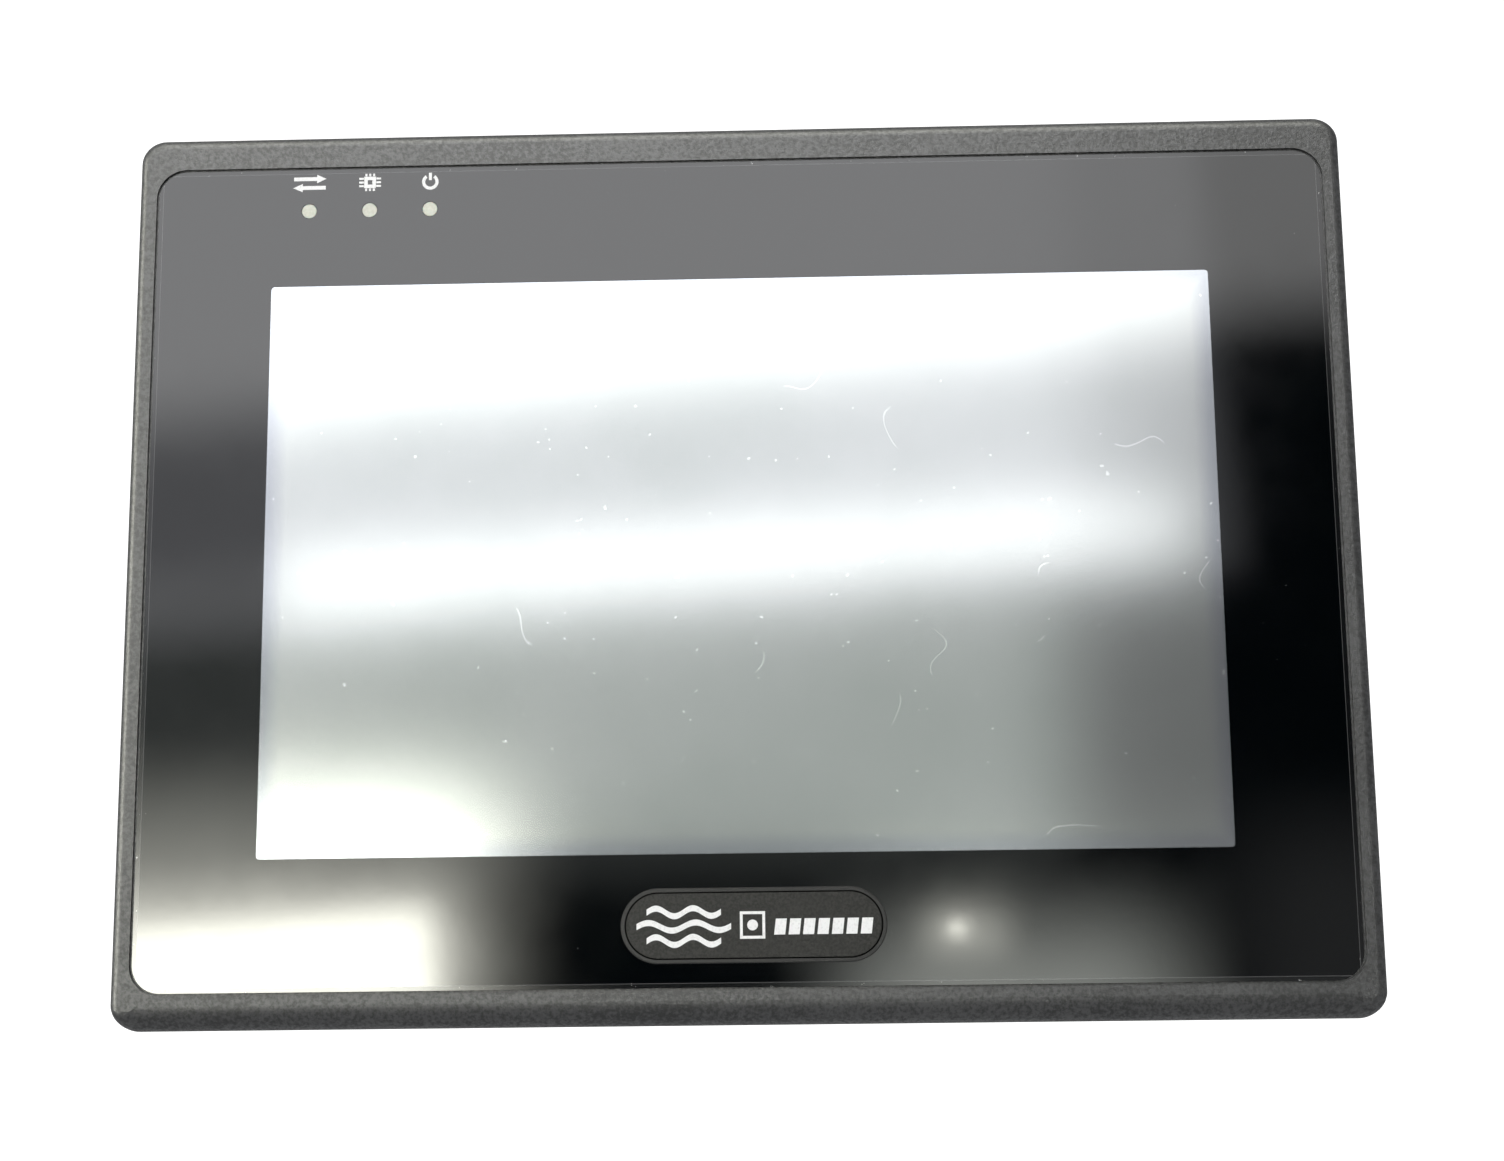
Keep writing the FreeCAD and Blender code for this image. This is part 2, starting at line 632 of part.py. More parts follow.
def main_board():
    board = box((-BOARD_HALF_WIDTH, BOARD_HALF_WIDTH), (BOARD_FRONT_Y, BOARD_REAR_Y),
                (BOARD_BOTTOM_Z, BOARD_TOP_Z))
    cuts = []
    for x_side in SIDES:
        for z in STANDOFF_Z:
            cuts.append(rod(x_side * STANDOFF_X, z, THREAD_RADIUS + 0.1,
                            (BOARD_FRONT_Y - PROUD, BOARD_REAR_Y + PROUD)))
    return board.cut(cuts)


def chip(x, z, width, height, thickness):
    body = centred_box(x, z, width, height, (BOARD_REAR_Y, BOARD_REAR_Y + thickness))
    return body.makeChamfer(0.25, edges_on_plane(body, BOARD_REAR_Y + thickness))


def logic_chips():
    """Processor, two memory chips, flash, network controller and three line drivers."""
    chips = [
        chip(-8.0, 12.0, 19.0, 19.0, 1.6),
        chip(14.0, 17.0, 12.0, 10.0, 1.2),
        chip(14.0, 4.0, 12.0, 10.0, 1.2),
        chip(-8.0, 34.0, 20.0, 12.0, 1.2),
        chip(-13.0, -14.0, 10.0, 10.0, 1.4),
    ]
    for x in (10.0, 22.0, 34.0):
        chips.append(chip(x, -16.0, 5.0, 8.0, 1.6))
    return chips


def capacitors():
    cans = []
    for x, z, radius, height in ((-64.0, -22.0, 5.0, 12.0), (-51.0, -22.0, 4.0, 10.0),
                                 (-64.0, -7.0, 4.0, 10.0), (-51.0, -8.0, 3.15, 8.0)):
        can = rod(x, z, radius, (BOARD_REAR_Y, BOARD_REAR_Y + height))
        cans.append(can.makeFillet(0.6, edges_on_plane(can, BOARD_REAR_Y + height)))
    return cans


def buzzer():
    top = BOARD_REAR_Y + BUZZER_HEIGHT
    can = rod(BUZZER_X, BUZZER_Z, 6.0, (BOARD_REAR_Y, top))
    can = can.makeFillet(0.8, edges_on_plane(can, top))
    return can.cut(rod(BUZZER_X, BUZZER_Z, 1.1, (top - 3.0, top + PROUD)))


def battery_holder():
    top = BOARD_REAR_Y + 5.0
    pocket_y = (BOARD_REAR_Y + BATTERY_FLOOR, top + PROUD)
    body = rod(BATTERY_X, BATTERY_Z, CELL_RADIUS + 1.6, (BOARD_REAR_Y, top))
    pocket = rod(BATTERY_X, BATTERY_Z, CELL_RADIUS + 0.15, pocket_y)
    finger_gap = box((BATTERY_X - 5.0, BATTERY_X + 5.0), pocket_y, (BATTERY_Z - 14.0, BATTERY_Z))
    return body.cut([pocket, finger_gap])


def coin_cell():
    low = BOARD_REAR_Y + BATTERY_FLOOR
    can = rod(BATTERY_X, BATTERY_Z, CELL_RADIUS, (low, low + CELL_HEIGHT))
    return can.makeFillet(0.5, edges_on_plane(can, low + CELL_HEIGHT))


def backlight_driver():
    """Small driver board on two spacers behind the chassis plate, with its transformer."""
    board_y = DRIVER_BOARD_Y
    spacers = []
    for side in SIDES:
        spacers.append(rod(DRIVER_X + side * 14.0, DRIVER_Z, 2.0, (CHASSIS_REAR_Y, board_y[0])))
    board = centred_box(DRIVER_X, DRIVER_Z, 36.0, 12.0, board_y)
    transformer = centred_box(DRIVER_X, DRIVER_Z, 14.0, 9.0, (board_y[1], board_y[1] + 4.0))
    return spacers + [board, transformer]


def flat_cables():
    """Display ribbon and touch tail, each ending in its connector on the front of the main board."""
    thin = CABLE_THICKNESS
    connector_y = (BOARD_FRONT_Y - CABLE_CONNECTOR_DEPTH, BOARD_FRONT_Y)
    half = RIBBON_HALF_WIDTH
    ribbon = box((-half, half), (LCD_REAR_Y, connector_y[0]), (RIBBON_Z, RIBBON_Z + thin))
    ribbon_end = box((-half - 2.0, half + 2.0), connector_y, (RIBBON_Z - 2.5, RIBBON_Z + 3.0))
    tail = fused([
        box(TAIL_X, (TOUCH_REAR_Y, TOUCH_REAR_Y + thin), (TAIL_Z, TAIL_Z + 2.2)),
        box(TAIL_X, (TOUCH_REAR_Y, TAIL_BEND_Y + thin), (TAIL_Z, TAIL_Z + thin)),
        box(TAIL_X, (TAIL_BEND_Y, TAIL_BEND_Y + thin), (TAIL_Z, TAIL_END_Z)),
        box(TAIL_X, (TAIL_BEND_Y, connector_y[0]), (TAIL_END_Z - thin, TAIL_END_Z)),
    ])
    tail_end = box((TAIL_X[0] - 2.0, TAIL_X[1] + 2.0), connector_y, (TAIL_END_Z - 2.5, TAIL_END_Z + 2.5))
    return [ribbon, ribbon_end, tail, tail_end]


# --------------------------------------------------------------- connectors

def d_section(x, y, z, width, height, radius):
    """D-shaped face in the XY plane: the wide side is towards +Y."""
    slope = height * math.tan(math.radians(10.0))
    points = [
        Vector(x - width / 2, y + height / 2, z),
        Vector(x + width / 2, y + height / 2, z),
        Vector(x + width / 2 - slope, y - height / 2, z),
        Vector(x - width / 2 + slope, y - height / 2, z),
    ]
    solid = Part.Face(Part.makePolygon(points + points[:1])).extrude(Vector(0, 0, 1))
    upright = [edge for edge in solid.Edges if edge.BoundBox.ZLength > 0.9]
    rounded = solid.makeFillet(radius, upright)
    for face in rounded.Faces:
        if abs(face.BoundBox.ZMax - z) < 1e-6 and face.BoundBox.ZLength < 1e-6:
            return face
    raise RuntimeError("no section face")


def d_prism(x, y, z_range, width, height, radius):
    return d_section(x, y, z_range[0], width, height, radius).extrude(Vector(0, 0, z_range[1] - z_range[0]))


def serial_shells():
    shells = []
    for x in SERIAL_X:
        flange = box((x - FLANGE_HALF[0], x + FLANGE_HALF[0]),
                     (SERIAL_Y - FLANGE_HALF[1], SERIAL_Y + FLANGE_HALF[1]), FLANGE_Z)
        upright = [edge for edge in flange.Edges if edge.BoundBox.ZLength > 0.5]
        flange = flange.makeFillet(1.5, upright)
        nose = d_prism(x, SERIAL_Y, (SHELL_FRONT_Z, FLANGE_Z[1]), SHELL_WIDTH, SHELL_HEIGHT, 2.0)
        hollow = d_prism(x, SERIAL_Y, (SHELL_FRONT_Z - PROUD, FLANGE_Z[1] + PROUD),
                         SHELL_WIDTH - 2 * SHELL_WALL, SHELL_HEIGHT - 2 * SHELL_WALL, 1.5)
        through = (FLANGE_Z[0] - PROUD, FLANGE_Z[1] + PROUD)
        holes = [rod_z(x + side * SERIAL_PITCH / 2, SERIAL_Y, 1.45, through) for side in SIDES]
        shells.append(fused([flange, nose]).cut([hollow] + holes))
    return shells


def serial_contacts(x):
    """Centres of the nine contacts: five in the row nearer +Y, four in the other."""
    centres = []
    for count, y in ((5, SERIAL_Y + CONTACT_ROW), (4, SERIAL_Y - CONTACT_ROW)):
        for index in range(count):
            centres.append((x + (index - (count - 1) / 2) * CONTACT_PITCH, y))
    return centres


def port_inserts():
    """Insulators: two serial cores with their rear bodies, and the two USB tongues."""
    inserts = []
    core_width = SHELL_WIDTH - 2 * SHELL_WALL
    core_height = SHELL_HEIGHT - 2 * SHELL_WALL
    for index, x in enumerate(SERIAL_X):
        rear = box((x - 9.6, x + 9.6), (BOARD_REAR_Y, SERIAL_Y + 5.2), (FLANGE_Z[1], -38.0))
        male = index == 0
        front_z = BAY_CEILING_Z - (0.6 if male else 5.6)
        core = d_prism(x, SERIAL_Y, (front_z, FLANGE_Z[1]), core_width - 0.1, core_height - 0.1, 1.4)
        holes = []
        for contact_x, contact_y in serial_contacts(x):
            radius = PIN_RADIUS if male else PIN_RADIUS + 0.05
            floor_z = FLANGE_Z[1] - (0.0 if male else 1.0)
            holes.append(rod_z(contact_x, contact_y, radius, (front_z - PROUD, floor_z)))
        inserts.append(fused([rear, core]).cut(holes))
    inserts.append(box((USB_HOST_X - 5.55, USB_HOST_X + 5.55), (USB_HOST_Y + 0.1, USB_HOST_Y + 1.95),
                       (USB_FRONT_Z + 0.6, USB_HOST_REAR_Z)))
    inserts.append(box((USB_CLIENT_X - 2.4, USB_CLIENT_X + 2.4), (USB_CLIENT_Y - 0.4, USB_CLIENT_Y + 0.6),
                       (USB_FRONT_Z + 0.6, USB_CLIENT_REAR_Z)))
    return inserts


def port_contacts():
    """Metal contacts: male serial pins, ethernet wires and power pins."""
    contacts = []
    for contact_x, contact_y in serial_contacts(SERIAL_X[0]):
        pin = rod_z(contact_x, contact_y, PIN_RADIUS, (PIN_TIP_Z + PIN_TIP_LENGTH, FLANGE_Z[1]))
        tip_end = Vector(contact_x, contact_y, PIN_TIP_Z)
        tip = Part.makeCone(PIN_RADIUS / 2, PIN_RADIUS, PIN_TIP_LENGTH, tip_end, Z_AXIS)
        contacts.append(fused([pin, tip]))
    for index in range(8):
        x = ETHERNET_X + (index - 3.5) * JACK_CONTACT_PITCH
        contacts.append(box((x - 0.2, x + 0.2), (BOARD_REAR_Y + 2.2, BOARD_REAR_Y + 2.7), JACK_CONTACT_Z))
    for index in range(POLES):
        pin_z = (HEADER_CAVITY_Z - HEADER_PIN_LENGTH, HEADER_CAVITY_Z)
        contacts.append(centred_pin(pole_x(index), HEADER_Y, 0.5, pin_z))
    return contacts


def centred_pin(x, y, half, z_range):
    return box((x - half, x + half), (y - half, y + half), z_range)


def jack_posts():
    """Hexagonal jack posts with a tapped hole, two for each serial port."""
    post_z = (BAY_CEILING_Z - POST_LENGTH, BAY_CEILING_Z)
    posts = []
    for centre in SERIAL_X:
        for side in SIDES:
            x = centre + side * SERIAL_PITCH / 2
            face = hex_face(Vector(x, SERIAL_Y, post_z[0]), POST_ACROSS_FLATS, Z_AXIS, X_AXIS)
            post = face.extrude(Vector(0, 0, post_z[1] - post_z[0]))
            stem = rod_z(x, SERIAL_Y, 1.4, (post_z[1], post_z[1] + 3.0))
            tapped = rod_z(x, SERIAL_Y, POST_TAP_RADIUS, (post_z[0] - PROUD, post_z[1] - 0.4))
            posts.append(fused([post, stem]).cut(tapped))
    return posts


def ethernet_jack():
    """Modular jack: plug cavity with a stepped latch slot."""
    front_z = BAY_CEILING_Z - 0.6
    body = box((ETHERNET_X - JACK_HALF_WIDTH, ETHERNET_X + JACK_HALF_WIDTH),
               (BOARD_REAR_Y, BOARD_REAR_Y + JACK_DEPTH), (front_z, JACK_REAR_Z))
    cavity_z = (front_z - PROUD, JACK_CAVITY_Z)
    steps = (
        (5.9, (BOARD_REAR_Y + 2.7, BOARD_REAR_Y + 9.6)),
        (3.1, (BOARD_REAR_Y + 9.6, BOARD_REAR_Y + 11.0)),
        (2.1, (BOARD_REAR_Y + 11.0, BOARD_REAR_Y + 12.3)),
    )
    cuts = []
    for half, y_range in steps:
        cuts.append(box((ETHERNET_X - half, ETHERNET_X + half), y_range, cavity_z))
    cuts.append(box((ETHERNET_X - 4.4, ETHERNET_X + 4.4), (BOARD_REAR_Y + 2.2, BOARD_REAR_Y + 2.7),
                    JACK_CONTACT_Z))
    return body.cut(cuts)


def usb_ports():
    shells = []
    wall = USB_WALL
    for x, y, size, rear_z in ((USB_HOST_X, USB_HOST_Y, HOST_SIZE, USB_HOST_REAR_Z),
                               (USB_CLIENT_X, USB_CLIENT_Y, CLIENT_SIZE, USB_CLIENT_REAR_Z)):
        half_x = size[0] / 2
        half_y = size[1] / 2
        outer = box((x - half_x, x + half_x), (y - half_y, y + half_y), (USB_FRONT_Z, rear_z + 0.4))
        inner = box((x - half_x + wall, x + half_x - wall), (y - half_y + wall, y + half_y - wall),
                    (USB_FRONT_Z - PROUD, rear_z))
        shells.append(outer.cut(inner))
    return shells


# ---------------------------------------------------------- power connector

def pole_x(index):
    return POWER_X + (index - (POLES - 1) / 2) * POLE_PITCH


def power_header():
    body = box((POWER_X - HEADER_HALF, POWER_X + HEADER_HALF), HEADER_Y_RANGE, (BAY_CEILING_Z, HEADER_REAR_Z))
    half = NOSE_HALF + NOSE_CLEARANCE
    cavity = box((POWER_X - half, POWER_X + half), (NOSE_Y[0] - NOSE_CLEARANCE, NOSE_Y[1] + NOSE_CLEARANCE),
                 (BAY_CEILING_Z - PROUD, HEADER_CAVITY_Z))
    return body.cut(cavity)


def power_plug():
    body = box((POWER_X - PLUG_HALF, POWER_X + PLUG_HALF), PLUG_Y, (PLUG_FACE_Z, PLUG_TOP_Z))
    rear_edges = [edge for edge in edges_on_plane(body, PLUG_Y[1]) if edge.BoundBox.XLength > 1]
    body = body.makeChamfer(PLUG_CHAMFER, rear_edges)
    nose = box((POWER_X - NOSE_HALF, POWER_X + NOSE_HALF), NOSE_Y, (PLUG_TOP_Z, HEADER_CAVITY_Z - 0.6))
    cuts = []
    half = CAGE_HALF + 0.25
    for index in range(POLES):
        x = pole_x(index)
        cuts.append(box((x - half, x + half), (CAGE_Y[0] - 0.4, SCREW_LEDGE_Y[0]),
                        (CAGE_Z[0] - 0.3, CAGE_Z[1] + 0.3)))
        cuts.append(box((x - WIRE_ENTRY_HALF, x + WIRE_ENTRY_HALF), WIRE_ENTRY_Y,
                        (PLUG_FACE_Z - PROUD, CAGE_Z[0])))
        cuts.append(rod(x, TERMINAL_Z, TERMINAL_SHANK_RADIUS + 0.1,
                        (SCREW_LEDGE_Y[0] - PROUD, SCREW_LEDGE_Y[1] + PROUD)))
        cuts.append(rod(x, TERMINAL_Z, TERMINAL_HEAD_RADIUS + 0.25, (SCREW_LEDGE_Y[1], PLUG_Y[1] + PROUD)))
        cuts.append(centred_pin(x, HEADER_Y, 0.85, (HEADER_CAVITY_Z - 8.0, HEADER_CAVITY_Z)))
    for index in range(POLES - 1):
        x = (pole_x(index) + pole_x(index + 1)) / 2
        cuts.append(box((x - 0.25, x + 0.25), (PLUG_Y[1] - 1.0, PLUG_Y[1] + PROUD),
                        (PLUG_FACE_Z - PROUD, PLUG_TOP_Z + PROUD)))
    return fused([body, nose]).cut(cuts)


def terminal_screw(index):
    x = pole_x(index)
    head_y = (SCREW_LEDGE_Y[1] + 0.05, TERMINAL_HEAD_REAR_Y)
    head = rod(x, TERMINAL_Z, TERMINAL_HEAD_RADIUS, head_y)
    shank = rod(x, TERMINAL_Z, TERMINAL_SHANK_RADIUS, (TERMINAL_SHANK_END_Y, head_y[0]))
    slot = centred_box(x, TERMINAL_Z, 5.0, 0.6, (head_y[1] - 0.9, head_y[1] + PROUD))
    return fused([head, shank]).cut(slot)


def wire_cage(index):
    """Rectangular clamp cage, open along Z, with a tapped bar for the screw."""
    x = pole_x(index)
    body = box((x - CAGE_HALF, x + CAGE_HALF), CAGE_Y, CAGE_Z)
    inner = CAGE_HALF - CAGE_SIDE
    opening = box((x - inner, x + inner), (CAGE_Y[0] + CAGE_BAR, CAGE_Y[1] - CAGE_BAR),
                  (CAGE_Z[0] - PROUD, CAGE_Z[1] + PROUD))
    tapped = rod(x, TERMINAL_Z, TERMINAL_SHANK_RADIUS + 0.08, (CAGE_Y[1] - 2.0, CAGE_Y[1] + PROUD))
    return body.cut([opening, tapped])


# ---------------------------------------------------- reset and DIP switches

def reset_switch():
    body = centred_box(RESET_X, SERVICE_Z, 6.2, 6.2, (BOARD_REAR_Y, BOARD_REAR_Y + 3.6))
    return body.cut(rod(RESET_X, SERVICE_Z, RESET_RADIUS + 0.25, (BOARD_REAR_Y + 1.0, BOARD_REAR_Y + 5.0)))


def reset_button():
    top = POCKET_FLOOR_Y + RESET_STANDS_OUT
    plunger = rod(RESET_X, SERVICE_Z, RESET_RADIUS, (BOARD_REAR_Y + 2.0, top))
    return plunger.makeFillet(0.3, edges_on_plane(plunger, top))


def dip_x(index):
    return DIP_X + (index - (DIP_WAYS - 1) / 2) * DIP_PITCH


def dip_switch():
    body = centred_box(DIP_X, SERVICE_Z, DIP_BODY_SIZE[0], DIP_BODY_SIZE[1], DIP_BODY_Y)
    slot_y = (DIP_BODY_Y[1] - DIP_SLOT_DEPTH, DIP_BODY_Y[1] + PROUD)
    cuts = []
    for index in range(DIP_WAYS):
        cuts.append(centred_box(dip_x(index), SERVICE_Z, 1.4, 3.4, slot_y))
    return body.cut(cuts)


def dip_slider(index):
    """Actuator at the lower end of its slot, which is the off position."""
    z = SERVICE_Z - DIP_TRAVEL / 2
    base_y = DIP_BODY_Y[1] - DIP_SLOT_DEPTH + 0.15
    top_y = DIP_BODY_Y[1] + DIP_SLIDER_STANDS_OUT
    slider = centred_box(dip_x(index), z, 1.1, 1.6, (base_y, top_y))
    return slider.makeFillet(0.15, edges_on_plane(slider, top_y))


# ------------------------------------------------------------- rear housing

def rear_housing():
    outer = rounded_plate(HOUSING_WIDTH, HOUSING_HEIGHT, HOUSING_CORNER, (BEZEL_WALL_REAR_Y, HOUSING_REAR_Y))
    outer = outer.makeFillet(HOUSING_EDGE_ROUND, edges_on_plane(outer, HOUSING_REAR_Y))
    wall = HOUSING_WALL
    hollow = rounded_plate(HOUSING_WIDTH - 2 * wall, HOUSING_HEIGHT - 2 * wall, HOUSING_CORNER - wall,
                           (BEZEL_WALL_REAR_Y - PROUD, HOUSING_INNER_Y))
    shell = outer.cut(hollow)
    shell = with_connector_bay(shell)
    shell = with_service_pocket(shell)
    shell = with_screw_bosses(shell)
    return shell.cut(vent_slots() + clamp_slots() + connector_cutouts() + [label_recess()])


def with_connector_bay(shell):
    wall = HOUSING_WALL
    low = -HOUSING_HEIGHT / 2
    lining = box((-BAY_HALF_WIDTH - wall, BAY_HALF_WIDTH + wall), (BAY_FRONT_Y - wall, HOUSING_REAR_Y - 1.0),
                 (low + 1.0, BAY_CEILING_Z + wall))
    notch = box((-BAY_HALF_WIDTH, BAY_HALF_WIDTH), (BAY_FRONT_Y, HOUSING_REAR_Y + PROUD),
                (low - PROUD, BAY_CEILING_Z))
    return fused([shell, lining]).cut(notch)


def with_service_pocket(shell):
    wall = POCKET_WALL
    lining = box((POCKET_X[0] - wall, POCKET_X[1] + wall), (POCKET_FLOOR_Y - 2.0, HOUSING_REAR_Y - 1.0),
                 (POCKET_Z[0] - wall, POCKET_Z[1] + wall))
    hollow = box(POCKET_X, (POCKET_FLOOR_Y, HOUSING_REAR_Y + PROUD), POCKET_Z)
    floor_range = (POCKET_FLOOR_Y - 3.0, POCKET_FLOOR_Y + PROUD)
    button_hole = rod(RESET_X, SERVICE_Z, RESET_RADIUS + 0.4, floor_range)
    switch_window = centred_box(DIP_X, SERVICE_Z, DIP_BODY_SIZE[0] + 0.4, DIP_BODY_SIZE[1] + 0.4, floor_range)
    return fused([shell, lining]).cut([hollow, button_hole, switch_window])


def with_screw_bosses(shell):
    posts = []
    cuts = []
    for x_side in SIDES:
        for z_side in SIDES:
            x = x_side * COVER_SCREW_X
            z = z_side * COVER_SCREW_Z
            posts.append(rod(x, z, BOSS_RADIUS + 0.7, (BEZEL_REAR_Y, HOUSING_INNER_Y + 0.5)))
            cuts.append(rod(x, z, THREAD_RADIUS + 0.1, (BEZEL_REAR_Y - PROUD, COUNTERBORE_Y + PROUD)))
            cuts.append(rod(x, z, SCREW_HEAD_RADIUS + 0.35, (COUNTERBORE_Y, HOUSING_REAR_Y + PROUD)))
    return fused([shell] + posts).cut(cuts)


def slot(x, z, width, height, y_range):
    return rounded_plate(width, height, min(width, height) / 2 - 1e-3, y_range, x, z)


def vent_slots():
    """One row of slots in the rear wall above the label, and slots through the top and side walls."""
    top = HOUSING_HEIGHT / 2
    side_wall = HOUSING_WIDTH / 2
    inward = HOUSING_WALL + 1.3
    half = WALL_VENT_HALF
    cuts = []
    for index in range(REAR_VENTS):
        x = (index - (REAR_VENTS - 1) / 2) * REAR_VENT_PITCH
        cuts.append(slot(x, REAR_VENT_Z, REAR_VENT_SIZE[0], REAR_VENT_SIZE[1],
                         (HOUSING_INNER_Y - PROUD, HOUSING_REAR_Y + PROUD)))
    for index in range(TOP_VENTS):
        x = (index - (TOP_VENTS - 1) / 2) * TOP_VENT_PITCH
        cuts.append(box((x - half, x + half), WALL_VENT_Y, (top - inward, top + PROUD)))
    for side in SIDES:
        x_range = sorted((side * (side_wall - inward), side * (side_wall + PROUD)))
        for index in range(SIDE_VENTS):
            z = (index - (SIDE_VENTS - 1) / 2) * SIDE_VENT_PITCH
            cuts.append(box(x_range, WALL_VENT_Y, (z - half, z + half)))
    return cuts


def clamp_slots():
    cuts = []
    for x_side in SIDES:
        for z_side in SIDES:
            x = x_side * CLAMP_X
            z_range = sorted((z_side * (HOUSING_HEIGHT / 2 - HOUSING_WALL - PROUD),
                              z_side * (HOUSING_HEIGHT / 2 + PROUD)))
            cuts.append(box((x - SLOT_HALF_WIDTH, x + SLOT_HALF_WIDTH), SLOT_Y, z_range))
    return cuts


def connector_cutouts():
    z_range = (BAY_CEILING_Z - PROUD, BAY_CEILING_Z + HOUSING_WALL + 0.5)
    gap = 0.2
    cuts = []
    for x in SERIAL_X:
        cuts.append(box((x - FLANGE_HALF[0] - gap, x + FLANGE_HALF[0] + gap),
                        (SERIAL_Y - FLANGE_HALF[1] - gap, SERIAL_Y + FLANGE_HALF[1] + gap), z_range))
    low = BOARD_REAR_Y - gap
    windows = (
        (ETHERNET_X, JACK_HALF_WIDTH + gap, (low, BOARD_REAR_Y + JACK_DEPTH + gap)),
        (USB_HOST_X, HOST_SIZE[0] / 2 + gap, (low, BOARD_REAR_Y + HOST_SIZE[1] + gap)),
        (USB_CLIENT_X, CLIENT_SIZE[0] / 2 + gap, (low, BOARD_REAR_Y + CLIENT_SIZE[1] + gap)),
        (POWER_X, HEADER_HALF + gap, (low, HEADER_Y_RANGE[1] + gap)),
    )
    for x, half, y_range in windows:
        cuts.append(box((x - half, x + half), y_range, z_range))
    return cuts


def label_recess():
    return rounded_plate(LABEL_WIDTH + 1.0, LABEL_HEIGHT + 1.0, 2.0, (LABEL_RECESS_Y, HOUSING_REAR_Y + PROUD),
                         LABEL_X, LABEL_Z)


def rating_label():
    return rounded_plate(LABEL_WIDTH, LABEL_HEIGHT, 1.5, (LABEL_RECESS_Y, LABEL_RECESS_Y + LABEL_THICKNESS),
                         LABEL_X, LABEL_Z)


# ------------------------------------------------------------- panel clamps

def clamp_corners():
    """Number, X side and Z side of each clamp."""
    return ((1, -1, 1), (2, 1, 1), (3, -1, -1), (4, 1, -1))


def clamp(x_side, z_side):
    """Clamp block with a hook that catches behind the rear edge of its slot."""
    x = x_side * CLAMP_X

    def z_span(low, high):
        return sorted((z_side * low, z_side * high))

    block = box((x - CLAMP_HALF_WIDTH, x + CLAMP_HALF_WIDTH), CLAMP_Y, z_span(CLAMP_INNER_Z, CLAMP_OUTER_Z))
    along_y = [edge for edge in block.Edges
               if edge.BoundBox.YLength > 1 and abs(edge.BoundBox.ZMax - z_side * CLAMP_OUTER_Z) < 1e-6]
    block = block.makeFillet(CLAMP_ROUND, along_y)
    tongue = box((x - HOOK_HALF_WIDTH, x + HOOK_HALF_WIDTH), HOOK_Y, z_span(HOOK_DEPTH_Z, CLAMP_INNER_Z))
    lip = box((x - HOOK_HALF_WIDTH, x + HOOK_HALF_WIDTH), (HOOK_Y[0], HOOK_LIP_Y),
              z_span(HOOK_DEPTH_Z, LIP_TOP_Z))
    bore = rod(x, z_side * CLAMP_SCREW_Z, CLAMP_BORE, (CLAMP_Y[0] - PROUD, CLAMP_Y[1] + PROUD))
    return fused([block, tongue, lip]).cut(bore)


def clamp_screw(x_side, z_side):
    x = x_side * CLAMP_X
    z = z_side * CLAMP_SCREW_Z
    shank = rod(x, z, CLAMP_SCREW_RADIUS, (CLAMP_SCREW_TIP_Y, CLAMP_HEAD_Y[0]))
    head = rod(x, z, CLAMP_HEAD_RADIUS, CLAMP_HEAD_Y)
    head = head.makeFillet(0.8, edges_on_plane(head, CLAMP_HEAD_Y[1]))
    recess_y = (CLAMP_HEAD_Y[1] - 1.2, CLAMP_HEAD_Y[1] + PROUD)
    return fused([shank, head]).cut(cross_recess(x, z, 3.4, 0.8, recess_y))


def clamp_foot(x_side, z_side):
    x = x_side * CLAMP_X
    z = z_side * CLAMP_SCREW_Z
    cap = rod(x, z, FOOT_RADIUS, (FOOT_FRONT_Y, FOOT_REAR_Y))
    cap = cap.makeFillet(0.5, edges_on_plane(cap, FOOT_FRONT_Y))
    return cap.cut(rod(x, z, CLAMP_BORE, (FOOT_FRONT_Y + 1.0, FOOT_REAR_Y + PROUD)))


def build():
    os.makedirs("parts", exist_ok=True)
    single_parts = (
        front_bezel, overlay_film, window_film, nameplate, light_pipes, display_seals, touch_panel,
        lcd_frame, lcd_glass, backlight_unit, chassis_plate, inner_screws, board_standoffs, main_board,
        logic_chips, capacitors, buzzer, battery_holder, coin_cell, indicator_board, indicator_leds,
        backlight_driver, flat_cables, serial_shells, port_inserts, port_contacts, jack_posts,
        ethernet_jack, usb_ports, power_header, power_plug, reset_switch, reset_button, dip_switch,
        rear_housing, cover_screws, rating_label,
    )
    for part in single_parts:
        save(part.__name__, part())
    save("panel_gasket", gasket_ring(0.0, (GASKET_FLOOR_Y, SEAT_Y)))
    for index in range(POLES):
        save("terminal_screw_%d" % (index + 1), terminal_screw(index))
        save("wire_cage_%d" % (index + 1), wire_cage(index))
    for index in range(DIP_WAYS):
        save("dip_slider_%d" % (index + 1), dip_slider(index))
    for number, x_side, z_side in clamp_corners():
        save("clamp_%d" % number, clamp(x_side, z_side))
        save("clamp_screw_%d" % number, clamp_screw(x_side, z_side))
        save("clamp_foot_%d" % number, clamp_foot(x_side, z_side))


build()
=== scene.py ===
import json
import math
import bmesh
import bpy
from mathutils import Matrix, Vector

